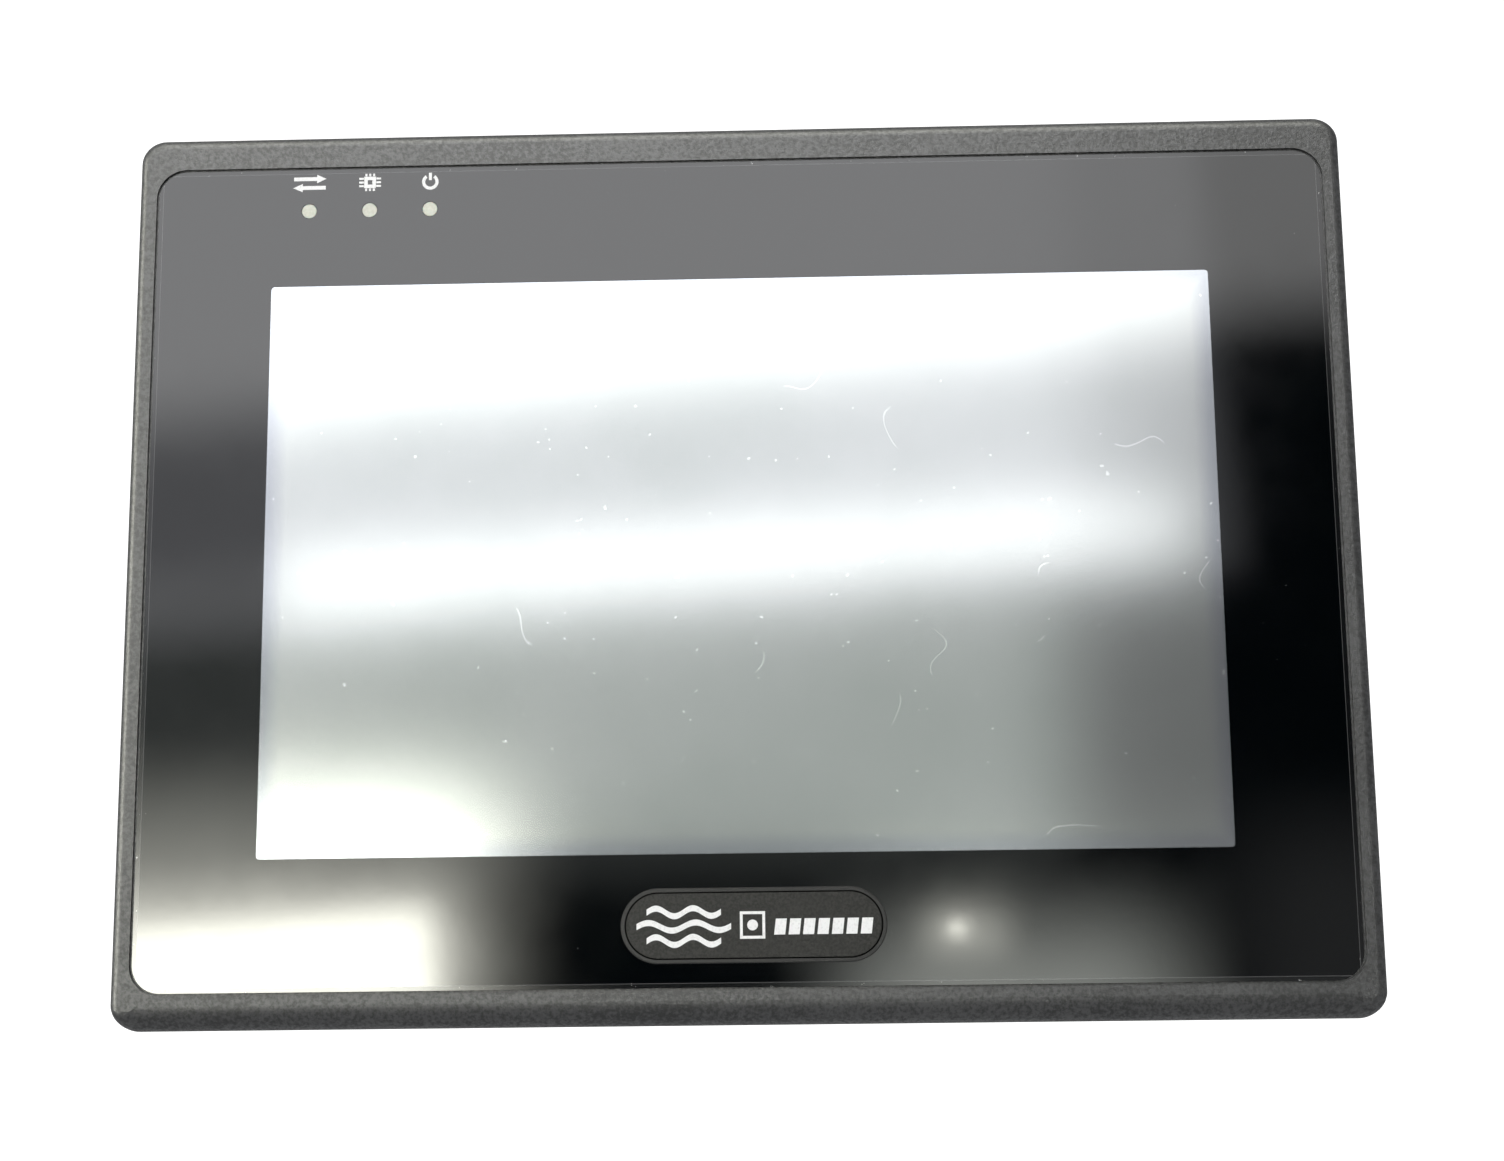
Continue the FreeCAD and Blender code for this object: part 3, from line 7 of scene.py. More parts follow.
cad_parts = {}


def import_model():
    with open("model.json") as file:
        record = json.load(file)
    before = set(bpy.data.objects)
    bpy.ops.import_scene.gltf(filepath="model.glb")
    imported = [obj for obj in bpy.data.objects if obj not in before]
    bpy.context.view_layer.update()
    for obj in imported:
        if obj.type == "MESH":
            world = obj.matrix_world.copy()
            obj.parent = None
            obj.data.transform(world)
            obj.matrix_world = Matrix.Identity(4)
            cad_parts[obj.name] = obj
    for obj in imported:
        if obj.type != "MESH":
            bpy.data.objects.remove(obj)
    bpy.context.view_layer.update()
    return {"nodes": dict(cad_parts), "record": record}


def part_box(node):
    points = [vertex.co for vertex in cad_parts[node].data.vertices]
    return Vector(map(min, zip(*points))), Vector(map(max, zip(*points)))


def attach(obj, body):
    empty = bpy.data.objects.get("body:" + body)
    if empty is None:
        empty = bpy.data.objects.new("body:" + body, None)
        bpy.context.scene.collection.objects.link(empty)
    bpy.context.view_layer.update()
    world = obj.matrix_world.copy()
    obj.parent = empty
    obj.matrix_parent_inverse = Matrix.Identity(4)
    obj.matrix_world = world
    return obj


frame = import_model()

MM = 0.001
UNIT = "unit"
OVERLAY_LOW, OVERLAY_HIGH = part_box("overlay_film")
WINDOW_LOW, WINDOW_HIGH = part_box("window_film")
PLATE_LOW, PLATE_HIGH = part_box("nameplate")
HOUSING_REAR_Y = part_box("rear_housing")[1].y
LABEL_LOW, LABEL_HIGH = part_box("rating_label")
LAMPS_LOW, LAMPS_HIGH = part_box("light_pipes")
INK_THICKNESS = 0.02 * MM
# The way a printed surface faces along Y.
TO_FRONT = -1
TO_REAR = 1


# ------------------------------------------------------------------ nodes

class Shader:
    """A short way to write one node material."""

    def __init__(self, name):
        self.material = bpy.data.materials.new(name)
        self.material.use_nodes = True
        self.tree = self.material.node_tree
        self.bsdf = self.tree.nodes["Principled BSDF"]
        self.output = self.tree.nodes["Material Output"]
        self.place = self.node("ShaderNodeTexCoord").outputs["Object"]

    def node(self, kind, **settings):
        made = self.tree.nodes.new(kind)
        for key, value in settings.items():
            setattr(made, key, value)
        return made

    def put(self, socket, value):
        if isinstance(value, bpy.types.NodeSocket):
            self.tree.links.new(value, socket)
        elif isinstance(value, (tuple, list)) and len(value) == 3 and socket.type == "RGBA":
            socket.default_value = (*value, 1.0)
        else:
            socket.default_value = value

    def set(self, **values):
        for key, value in values.items():
            self.put(self.bsdf.inputs[key.replace("_", " ")], value)
        return self

    def math(self, operation, a, b=0.0, clamp=False):
        made = self.node("ShaderNodeMath", operation=operation, use_clamp=clamp)
        self.put(made.inputs[0], a)
        self.put(made.inputs[1], b)
        return made.outputs[0]

    def noise(self, size, detail=2.0, rough=0.5, place=None, seed=0.0):
        """Noise whose features are about size metres across."""
        made = self.node("ShaderNodeTexNoise", noise_dimensions="4D")
        self.put(made.inputs["Vector"], place or self.place)
        self.put(made.inputs["W"], seed)
        self.put(made.inputs["Scale"], 1.0 / size)
        self.put(made.inputs["Detail"], detail)
        self.put(made.inputs["Roughness"], rough)
        return made.outputs["Fac"]

    def cells(self, size, feature="F1"):
        made = self.node("ShaderNodeTexVoronoi", feature=feature)
        self.put(made.inputs["Vector"], self.place)
        self.put(made.inputs["Scale"], 1.0 / size)
        return made.outputs["Distance"]

    def ramp(self, value, low, high, low_out=0.0, high_out=1.0):
        """Linear map from low..high to low_out..high_out, held at its ends."""
        made = self.node("ShaderNodeMapRange")
        self.put(made.inputs["Value"], value)
        self.put(made.inputs["From Min"], low)
        self.put(made.inputs["From Max"], high)
        self.put(made.inputs["To Min"], low_out)
        self.put(made.inputs["To Max"], high_out)
        return made.outputs["Result"]

    def mix(self, share, first, second):
        made = self.node("ShaderNodeMix", data_type="RGBA")
        self.put(made.inputs["Factor"], share)
        self.put(made.inputs["A"], first)
        self.put(made.inputs["B"], second)
        return made.outputs["Result"]

    def axes(self):
        split = self.node("ShaderNodeSeparateXYZ")
        self.put(split.inputs[0], self.place)
        return split.outputs["X"], split.outputs["Y"], split.outputs["Z"]

    def stretched(self, scale):
        made = self.node("ShaderNodeMapping")
        self.put(made.inputs["Vector"], self.place)
        self.put(made.inputs["Scale"], scale)
        return made.outputs["Vector"]

    def bump(self, height, depth, strength=1.0):
        made = self.node("ShaderNodeBump")
        self.put(made.inputs["Height"], height)
        self.put(made.inputs["Distance"], depth)
        self.put(made.inputs["Strength"], strength)
        self.put(self.bsdf.inputs["Normal"], made.outputs["Normal"])
        return self


# Moulded plastic: size of its broad clouds, how much of its tone is fine grain, and how far the
# roughness swings to either side.
CLOUD_SIZE = 18 * MM
FINE_SHARE = 0.75
POLISH_SPREAD = 0.07


def moulded(name, dark, light, roughness, grain, depth, contrast=0.12, gloss=0.5):
    """Moulded plastic with a spark-eroded grain and slightly polished high spots."""
    s = Shader(name)
    fine = s.noise(grain, detail=2.0, rough=0.65)
    broad = s.noise(CLOUD_SIZE, detail=2.0, seed=3.0)
    tone = s.math("ADD", s.math("MULTIPLY", fine, FINE_SHARE), s.math("MULTIPLY", broad, 1.0 - FINE_SHARE))
    s.set(Base_Color=s.mix(s.ramp(tone, 0.5 - contrast, 0.5 + contrast), dark, light))
    polish = s.ramp(fine, 0.35, 0.65, roughness + POLISH_SPREAD, roughness - POLISH_SPREAD)
    s.set(Roughness=polish, Specular_IOR_Level=gloss)
    return s.bump(fine, depth)


def rim_distance(s, low, high, inset_x, inset_z):
    """How far a point lies outside a node's box taken in by the insets, in metres; negative inside.

    The box is centred on x = 0.
    """
    x, _, z = s.axes()
    half_x = (high.x - low.x) / 2 - inset_x
    half_z = (high.z - low.z) / 2 - inset_z
    across = s.math("SUBTRACT", s.math("ABSOLUTE", x), half_x)
    along = s.math("SUBTRACT", s.math("ABSOLUTE", s.math("SUBTRACT", z, (high.z + low.z) / 2)), half_z)
    return s.math("MAXIMUM", across, along)


# Width of the overlay's raw cut rim, and of the display's inactive border inside the window.
OVERLAY_RIM = 0.7 * MM
INACTIVE_SIDE = 1.9 * MM
INACTIVE_TOP = 2.0 * MM


def overlay_material():
    """Gloss black polyester film: slight orange peel, a raw cut rim, a painted highlight line along it, a
    few painted glints near it, and dust specks.
    """
    s = Shader("overlay_black")
    rim = rim_distance(s, OVERLAY_LOW, OVERLAY_HIGH, OVERLAY_RIM, OVERLAY_RIM)
    on_rim = s.ramp(rim, -0.02 * MM, 0.04 * MM)
    near_edge = s.ramp(rim, -0.15 * MM, 0.05 * MM)
    # Painted glints: pale spots along the cut edge stand in for light catching it; the specks over the face
    # are dust.
    glint_noise = s.noise(0.8 * MM, detail=4.0, rough=0.7, seed=7.0)
    painted_edge_glints = s.math("MULTIPLY", near_edge, s.ramp(glint_noise, 0.66, 0.7))
    dust = s.ramp(s.noise(0.45 * MM, detail=1.0, seed=2.0), 0.83, 0.86)
    dust_and_glints = s.math("MAXIMUM", painted_edge_glints, s.math("MULTIPLY", dust, 0.5))
    # Painted highlight: a thin light line along the rim stands in for the edge catching the light.
    painted_edge_highlight = s.ramp(s.math("ABSOLUTE", rim), 0.03 * MM, 0.1 * MM, 1.0, 0.0)
    black = s.mix(on_rim, (0.0006, 0.0012, 0.0016), (0.004, 0.0045, 0.005))
    black = s.mix(s.math("MULTIPLY", painted_edge_highlight, 0.5), black, (0.16, 0.16, 0.16))
    s.set(Base_Color=s.mix(dust_and_glints, black, (0.62, 0.62, 0.6)))
    haze = s.ramp(s.noise(9 * MM, detail=3.0, seed=5.0), 0.3, 0.7, 0.045, 0.075)
    s.set(Roughness=s.math("ADD", haze, s.math("MULTIPLY", on_rim, 0.04)))
    s.set(IOR=1.52)
    return s.bump(s.noise(1.6 * MM, detail=2.0, seed=1.0), 0.0006 * MM)


def window_material():
    """Anti-glare film over the display, switched off: a silvery haze, cooler along the inactive border."""
    s = Shader("window_clear")
    border = rim_distance(s, WINDOW_LOW, WINDOW_HIGH, INACTIVE_SIDE, INACTIVE_TOP)
    on_border = s.ramp(border, -1.4 * MM, 1.2 * MM)
    grain = s.noise(0.22 * MM, detail=2.0, rough=0.7)
    cloud = s.noise(30 * MM, detail=3.0, seed=4.0)
    silver = s.mix(s.ramp(cloud, 0.35, 0.65), (0.425, 0.445, 0.435), (0.47, 0.485, 0.48))
    edged = s.mix(s.math("MULTIPLY", on_border, 0.5), silver, (0.27, 0.285, 0.34))
    hairs = scratches(s)
    s.set(Base_Color=s.mix(s.math("MULTIPLY", hairs, 0.4), edged, (0.9, 0.92, 0.92)))
    s.set(Metallic=0.75, IOR=1.5)
    s.set(Roughness=s.ramp(grain, 0.3, 0.7, 0.085, 0.12))
    return s.bump(grain, 0.0005 * MM)


def scratches(s):
    """A few hairline scratches, which are thin level lines of a noise kept only in patches, and dust."""
    fibre = s.noise(26 * MM, detail=2.0, rough=0.6, seed=11.0)
    line = s.math("ABSOLUTE", s.math("SUBTRACT", fibre, 0.5))
    thin = s.ramp(line, 0.0, 0.0035, 1.0, 0.0)
    patch = s.ramp(s.noise(11 * MM, detail=1.0, seed=21.0), 0.62, 0.66)
    specks = s.ramp(s.noise(1.1 * MM, detail=1.0, seed=31.0), 0.74, 0.76)
    return s.math("MAXIMUM", s.math("MULTIPLY", thin, patch), specks)


# Width of the nameplate's bevelled rim.
PLATE_RIM = 0.85 * MM


def nameplate_material():
    """Satin charcoal plate with a painted shadow line for the groove inside its glossier rim."""
    s = Shader("nameplate_grey")
    x, _, z = s.axes()
    centre_x = (PLATE_HIGH.x + PLATE_LOW.x) / 2
    centre_z = (PLATE_HIGH.z + PLATE_LOW.z) / 2
    straight = (PLATE_HIGH.x - PLATE_LOW.x - PLATE_HIGH.z + PLATE_LOW.z) / 2
    along = s.math("ABSOLUTE", s.math("SUBTRACT", x, centre_x))
    along = s.math("MAXIMUM", s.math("SUBTRACT", along, straight), 0.0)
    across = s.math("SUBTRACT", z, centre_z)
    squares = s.math("ADD", s.math("MULTIPLY", along, along), s.math("MULTIPLY", across, across))
    radius = s.math("SQRT", squares)
    inner = (PLATE_HIGH.z - PLATE_LOW.z) / 2 - PLATE_RIM
    on_rim = s.ramp(radius, inner, inner + 0.08 * MM)
    # Painted shade: a near-black, non-reflecting line where the groove inside the rim lies in shade.
    groove = s.math("ABSOLUTE", s.math("SUBTRACT", radius, inner + 0.1 * MM))
    painted_groove_shade = s.ramp(groove, 0.06 * MM, 0.16 * MM, 1.0, 0.0)
    grain = s.noise(0.4 * MM, detail=2.0, rough=0.65)
    satin = s.mix(s.ramp(grain, 0.4, 0.6), (0.009, 0.009, 0.008), (0.02, 0.02, 0.018))
    satin = s.mix(on_rim, satin, (0.026, 0.026, 0.025))
    s.set(Base_Color=s.mix(painted_groove_shade, satin, (0.0005, 0.0005, 0.0005)))
    s.set(Specular_IOR_Level=s.ramp(painted_groove_shade, 0.0, 1.0, 0.24, 0.0))
    dull = s.ramp(grain, 0.3, 0.7, 0.5, 0.42)
    s.set(Roughness=s.math("SUBTRACT", dull, s.math("MULTIPLY", on_rim, 0.12)))
    return s.bump(grain, 0.012 * MM)


def metal(name, colour, roughness, brushed=(1.0, 1.0, 1.0), grain=0.5 * MM, depth=0.002 * MM):
    s = Shader(name)
    streaks = s.noise(grain, detail=3.0, rough=0.6, place=s.stretched(brushed))
    dull = tuple(0.82 * channel for channel in colour)
    s.set(Base_Color=s.mix(s.ramp(streaks, 0.3, 0.7), dull, colour), Metallic=1.0)
    s.set(Roughness=s.ramp(streaks, 0.3, 0.7, roughness + 0.08, roughness - 0.05))
    return s.bump(streaks, depth)


def lamp_material():
    """Frosted light pipe: pale and warm, with a random mottle."""
    s = Shader("lamp_lens")
    mottled = s.noise(0.5 * MM, detail=2.0)
    s.set(Base_Color=s.mix(s.ramp(mottled, 0.3, 0.7), (0.5, 0.51, 0.42), (0.6, 0.61, 0.53)))
    s.set(Roughness=0.42, Subsurface_Weight=0.25, Subsurface_Scale=0.8 * MM)
    return s.bump(mottled, 0.01 * MM)


def board_material():
    """Green solder mask with fine tracks under it."""
    s = Shader("board_green")
    tracks = s.node("ShaderNodeTexBrick")
    turned = s.node("ShaderNodeMapping")
    s.put(turned.inputs["Vector"], s.place)
    s.put(turned.inputs["Rotation"], (math.pi / 2, 0.0, 0.0))
    s.put(tracks.inputs["Vector"], turned.outputs["Vector"])
    s.put(tracks.inputs["Scale"], 400.0)
    s.put(tracks.inputs["Mortar Size"], 0.06)
    s.put(tracks.inputs["Color1"], (0.012, 0.09, 0.035))
    s.put(tracks.inputs["Color2"], (0.016, 0.12, 0.045))
    s.put(tracks.inputs["Mortar"], (0.03, 0.2, 0.08))
    s.set(Base_Color=tracks.outputs["Color"], Roughness=0.32)
    return s.bump(tracks.outputs["Fac"], 0.01 * MM)


def rubber(name, colour, pores):
    s = Shader(name)
    cells = s.cells(pores)
    s.set(Base_Color=s.mix(s.ramp(cells, 0.1, 0.7), tuple(0.6 * c for c in colour), colour))
    s.set(Roughness=s.ramp(s.noise(4 * MM, seed=2.0), 0.3, 0.7, 0.72, 0.86))
    return s.bump(cells, 0.03 * MM)


def ink(name, colour):
    """Screen-printed ink, a little uneven."""
    s = Shader(name)
    film = s.noise(0.35 * MM, detail=3.0, rough=0.6)
    worn = tuple(0.8 * channel for channel in colour)
    s.set(Base_Color=s.mix(s.ramp(film, 0.3, 0.5), worn, colour), Roughness=0.5)
    return s.bump(film, 0.002 * MM)


def label_material():
    """Printed silver polyester label."""
    s = Shader("label_film")
    grain = s.noise(0.3 * MM, detail=2.0, place=s.stretched((1.0, 1.0, 12.0)))
    s.set(Base_Color=s.mix(s.ramp(grain, 0.3, 0.7), (0.5, 0.51, 0.52), (0.62, 0.63, 0.64)))
    s.set(Roughness=s.ramp(grain, 0.3, 0.7, 0.36, 0.46), Metallic=0.35)
    return s.bump(grain, 0.002 * MM)


def materials():
    zinc = (0.68, 0.68, 0.66)
    even = (1.0, 1.0, 1.0)
    made = {
        "bezel_plastic": moulded("bezel_plastic", (0.003, 0.0033, 0.004), (0.036, 0.0365, 0.0375), 0.44,
                                 0.65 * MM, 0.065 * MM, 0.08, 0.78),
        "housing_plastic": moulded("housing_plastic", (0.02, 0.0205, 0.022), (0.048, 0.049, 0.051), 0.45,
                                   0.6 * MM, 0.06 * MM, 0.09),
        "overlay_black": overlay_material(),
        "window_clear": window_material(),
        "nameplate_grey": nameplate_material(),
        "lamp_lens": lamp_material(),
        "seal_foam": rubber("seal_foam", (0.03, 0.03, 0.03), 0.6 * MM),
        "gasket_rubber": rubber("gasket_rubber", (0.022, 0.022, 0.023), 0.9 * MM),
        "touch_glass": moulded("touch_glass", (0.2, 0.22, 0.22), (0.25, 0.27, 0.27), 0.2,
                               2 * MM, 0.001 * MM),
        "lcd_glass": moulded("lcd_glass", (0.03, 0.035, 0.04), (0.04, 0.045, 0.05), 0.2,
                             2 * MM, 0.001 * MM),
        "zinc_sheet": metal("zinc_sheet", zinc, 0.34, even, 6 * MM),
        "white_plastic": moulded("white_plastic", (0.62, 0.62, 0.6), (0.72, 0.72, 0.7), 0.45,
                                 0.6 * MM, 0.01 * MM),
        "screw_steel": metal("screw_steel", zinc, 0.28, even, 0.7 * MM),
        "screw_black": metal("screw_black", (0.055, 0.055, 0.057), 0.42, even, 0.5 * MM),
        "standoff_brass": metal("standoff_brass", (0.75, 0.56, 0.26), 0.3, (1.0, 0.1, 1.0), 0.4 * MM),
        "board_green": board_material(),
        "chip_black": moulded("chip_black", (0.018, 0.018, 0.019), (0.03, 0.03, 0.031), 0.5,
                              0.25 * MM, 0.01 * MM),
        "insulator_black": moulded("insulator_black", (0.014, 0.014, 0.015), (0.024, 0.024, 0.025), 0.42,
                                   0.35 * MM, 0.01 * MM),
        "can_aluminium": metal("can_aluminium", (0.72, 0.72, 0.73), 0.32, (1.0, 0.2, 1.0), 0.8 * MM),
        "cell_steel": metal("cell_steel", (0.74, 0.74, 0.73), 0.2, even, 0.8 * MM),
        "led_body": moulded("led_body", (0.6, 0.6, 0.45), (0.7, 0.7, 0.55), 0.3, 0.4 * MM, 0.01 * MM),
        "ribbon_film": moulded("ribbon_film", (0.45, 0.25, 0.05), (0.6, 0.36, 0.09), 0.35,
                               0.8 * MM, 0.005 * MM),
        "connector_metal": metal("connector_metal", (0.7, 0.68, 0.63), 0.27, (1.0, 1.0, 0.12), 0.5 * MM),
        "contact_gold": metal("contact_gold", (0.86, 0.63, 0.24), 0.22, (1.0, 1.0, 0.2), 0.3 * MM),
        "terminal_green": moulded("terminal_green", (0.008, 0.12, 0.035), (0.014, 0.17, 0.055), 0.4,
                                  0.4 * MM, 0.012 * MM),
        "cage_metal": metal("cage_metal", (0.7, 0.7, 0.68), 0.25, even, 0.4 * MM),
        "button_white": moulded("button_white", (0.66, 0.66, 0.63), (0.76, 0.76, 0.73), 0.38,
                                0.3 * MM, 0.01 * MM),
        "switch_red": moulded("switch_red", (0.28, 0.012, 0.012), (0.38, 0.018, 0.016), 0.4,
                              0.3 * MM, 0.01 * MM),
        "label_film": label_material(),
        "clamp_metal": metal("clamp_metal", (0.56, 0.57, 0.58), 0.42, even, 0.6 * MM, 0.02 * MM),
        "foot_plastic": moulded("foot_plastic", (0.02, 0.02, 0.02), (0.034, 0.034, 0.034), 0.5,
                                0.3 * MM, 0.01 * MM),
    }
    return {slot: shader.material for slot, shader in made.items()}


def dress_nodes(finish):
    for entry in frame["record"]["subparts"]:
        node = frame["nodes"][entry["node"]]
        node.data.materials.clear()
        node.data.materials.append(finish[entry["material_slot"]])


# -------------------------------------------------------------- flat prints

def arc(x, z, radius, start, end, steps):
    points = []
    for step in range(steps + 1):
        angle = math.radians(start + (end - start) * step / steps)
        points.append((x + radius * math.cos(angle), z + radius * math.sin(angle)))
    return points


def open_ring(x, z, radius, hole, start, end, steps=30):
    return [arc(x, z, radius, start, end, steps) + arc(x, z, hole, end, start, steps)]


def bar(x, z, width, height):
    return [[(x - width / 2, z - height / 2), (x + width / 2, z - height / 2),
             (x + width / 2, z + height / 2), (x - width / 2, z + height / 2)]]


def shifted(outlines, x, z):
    return [[(px + x, pz + z) for px, pz in outline] for outline in outlines]


def printed(name, outlines, surface_y, facing, material, body=UNIT, thickness=INK_THICKNESS):
    """Flat ink shapes, outlined in millimetres, on a surface normal to Y that faces TO_FRONT or TO_REAR."""
    curve = bpy.data.curves.new(name, "CURVE")
    curve.dimensions = "2D"
    curve.fill_mode = "BOTH"
    curve.extrude = thickness / 2
    for outline in outlines:
        spline = curve.splines.new("POLY")
        spline.points.add(len(outline) - 1)
        for point, (x, z) in zip(spline.points, outline):
            point.co = (x * MM, z * MM, 0.0, 1.0)
        spline.use_cyclic_u = True
    flat = bpy.data.objects.new(name + "_outline", curve)
    mesh = bpy.data.meshes.new_from_object(flat)
    bpy.data.objects.remove(flat)
    mesh.transform(Matrix.Rotation(math.pi / 2, 4, "X"))
    mesh.transform(Matrix.Translation((0.0, surface_y + facing * thickness / 2, 0.0)))
    mesh.name = name
    weld = bmesh.new()
    weld.from_mesh(mesh)
    bmesh.ops.remove_doubles(weld, verts=weld.verts, dist=1e-7)
    bmesh.ops.recalc_face_normals(weld, faces=weld.faces)
    weld.to_mesh(mesh)
    weld.free()
    mesh.materials.append(material)
    piece = bpy.data.objects.new(name, mesh)
    bpy.context.scene.collection.objects.link(piece)
    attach(piece, body)


def arrow(side, z):
    """Arrow pointing towards side, -1 or 1, along one row."""
    shaft = 0.33
    barb = 0.74
    tail = -side * 2.7
    neck = side * 1.2
    tip = side * 2.8
    return [[(tail, z - shaft), (neck, z - shaft), (neck, z - barb), (tip, z),
             (neck, z + barb), (neck, z + shaft), (tail, z + shaft)]]


def lamp_marks(white):
    """Three pictograms over the lamps: traffic both ways, a chip and a power ring."""
    above = 2.7
    inset = 2.2
    row = 0.78
    z = LAMPS_HIGH.z / MM + above
    left = LAMPS_LOW.x / MM + inset
    right = LAMPS_HIGH.x / MM - inset
    pitch = (right - left) / 2
    traffic = arrow(1, row) + arrow(-1, -row)
    chip = bar(0, 0, 2.0, 2.0) + bar(0, 0, 0.8, 0.8)
    for step in (-0.65, 0.0, 0.65):
        for side in (-1, 1):
            chip += bar(step, side * 1.29, 0.34, 0.46)
            chip += bar(side * 1.45, step, 0.78, 0.34)
    power = open_ring(0, -0.1, 1.4, 0.86, 125, 415) + bar(0, 0.84, 0.5, 1.3)
    shapes = shifted(traffic, left, z) + shifted(chip, left + pitch, z) + shifted(power, right, z)
    printed("lamp_marks", shapes, OVERLAY_LOW.y, TO_FRONT, white)


def wave(left, right, z, height, thickness, periods, steps=48):
    """Ribbon that swings up and down."""
    upper = []
    for index in range(steps + 1):
        share = index / steps
        lift = height * math.sin(2 * math.pi * periods * share)
        upper.append((left + (right - left) * share, z + lift))
    lower = [(x, level - thickness) for x, level in reversed(upper)]
    return [upper + lower]


def nameplate_marks(white):
    """Plain decoration: three ribbons, a push-button square and a row of blocks."""
    x = (PLATE_LOW.x + PLATE_HIGH.x) / 2 / MM
    z = (PLATE_LOW.z + PLATE_HIGH.z) / 2 / MM
    shapes = []
    ribbons_left = x - 18.6
    ribbons_right = x - 3.6
    for row, inset in ((2.6, 1.6), (0.35, 0.0), (-1.9, 1.6)):
        shapes += wave(ribbons_left + inset, ribbons_right - inset, z + row, 0.62, 0.95, 2.0)
    square = x - 0.2
    shapes += bar(square, z, 4.0, 4.3) + bar(square, z, 3.1, 3.4)
    shapes.append(arc(square, z, 0.85, 0.0, 360.0, 30)[:-1])
    blocks_left = x + 3.2
    width = 1.75
    pitch = 2.28
    lean = 0.3
    half = 1.25
    drop = 0.3
    for index in range(7):
        low = blocks_left + index * pitch
        shapes.append([(low, z - half - drop), (low + width, z - half - drop),
                       (low + width + lean, z + half - drop), (low + lean, z + half - drop)])
    printed("nameplate_marks", shapes, PLATE_LOW.y, TO_FRONT, white)


def label_marks(dark):
    """Generic rating label: a frame, a header, rows of plain bars and three symbols."""
    x = (LABEL_LOW.x + LABEL_HIGH.x) / 2 / MM
    z = (LABEL_LOW.z + LABEL_HIGH.z) / 2 / MM
    margin = 2.5
    half_x = (LABEL_HIGH.x - LABEL_LOW.x) / 2 / MM - margin
    half_z = (LABEL_HIGH.z - LABEL_LOW.z) / 2 / MM - margin
    line = 0.7
    shapes = bar(x, z, 2 * half_x, 2 * half_z) + bar(x, z, 2 * half_x - line, 2 * half_z - line)
    shapes += bar(x + 14.0, z + half_z - 5.5, 2 * half_x - 34.0, 5.0)
    first_row = z + half_z - 12.5
    row_pitch = 5.2
    row_end = x + half_x - 3.0
    for row, length in enumerate((30.0, 24.0, 33.0, 19.0, 27.0)):
        shapes += bar(row_end - length / 2, first_row - row * row_pitch, length, 1.4)
    left = x - half_x + 12.0
    shapes += open_ring(left, z + 12.0, 4.2, 3.3, 125, 415) + bar(left, z + 15.0, 0.9, 4.2)
    shapes += bar(left, z + 1.2, 8.0, 0.9)
    for step in (-3.0, 0.0, 3.0):
        shapes += bar(left + step, z - 0.8, 2.0, 0.9)
    grid_z = z - 12.5
    cell = 1.8
    for row in range(5):
        for column in range(5):
            if (row * 2 + column * 3) % 4 != 1:
                shapes += bar(left + (column - 2) * cell, grid_z + (row - 2) * cell, 1.7, 1.7)
    printed("label_marks", shapes, LABEL_HIGH.y, TO_REAR, dark)


# Where the pictograms stand over the ports, in millimetres.
PORT_MARKS_Z = -47.3
POWER_X = -60.0
USB_X = (-44.5, -32.0)
ETHERNET_X = -13.5
SERIAL_X = (14.5, 50.0)


def port_marks(white):
    """Small pictograms on the rear housing over the ports: supply, sockets, network and serial plugs."""
    supply = bar(0, 0.7, 4.6, 0.5)
    for dash in (-1.7, 0, 1.7):
        supply += bar(dash, -0.5, 1.1, 0.5)
    shapes = shifted(supply, POWER_X, PORT_MARKS_Z)
    socket = bar(0, 0, 4.4, 2.6) + bar(0, 0, 3.7, 1.9) + bar(0, 0.35, 2.6, 0.6)
    for place in USB_X:
        shapes += shifted(socket, place, PORT_MARKS_Z)
    network = bar(0, 1.1, 1.5, 1.1) + bar(0, -0.02, 3.9, 0.35) + bar(0, 0.35, 0.35, 0.38)
    for side in (-1.8, 1.8):
        network += bar(side, -1.15, 1.5, 1.1) + bar(side, -0.4, 0.35, 0.4)
    shapes += shifted(network, ETHERNET_X, PORT_MARKS_Z)
    plug = [[(-3.4, 1.4), (3.4, 1.4), (2.7, -1.4), (-2.7, -1.4)]]
    plug += [[(-2.9, 1.0), (2.9, 1.0), (2.35, -1.0), (-2.35, -1.0)]]
    for pins, height in ((5, 0.4), (4, -0.4)):
        for pin in range(pins):
            plug += bar((pin - (pins - 1) / 2) * 0.9, height, 0.36, 0.36)
    for place in SERIAL_X:
        shapes += shifted(plug, place, PORT_MARKS_Z)
    printed("port_marks", shapes, HOUSING_REAR_Y, TO_REAR, white)


def main():
    finish = materials()
    dress_nodes(finish)
    white = ink("ink_white", (0.8, 0.8, 0.79)).material
    lamp_marks(white)
    nameplate_marks(white)
    label_marks(ink("ink_dark", (0.05, 0.05, 0.055)).material)
    port_marks(ink("ink_pale", (0.42, 0.43, 0.43)).material)


# ------------------------------------------------------------------ stage

# Camera: sensor width and focal length in millimetres, then its place and directions.
SENSOR = 36.0
LENS = 56.97
CAMERA_PLACE = Vector((11.4, -388.1, -74.6)) * MM
CAMERA_FORWARD = Vector((-0.0245, 0.9826, 0.1839))
CAMERA_UP = Vector((0.0157, -0.1836, 0.9829))
FLOOR_Z = -0.2
FLOOR_RADIUS = 1.8
# Share of the floor's radius at which it starts to fade.
FADE_FROM = 0.45
# Where the light cards stand, in front of the panel, and how far behind them the black cloth is.
WALL_Y = -1.5
FLAG_BEHIND = 0.4
# Brightness of the backdrop that the camera sees, and of the room's own light.
BACKDROP = 1.3
ROOM_LIGHT = 0.46


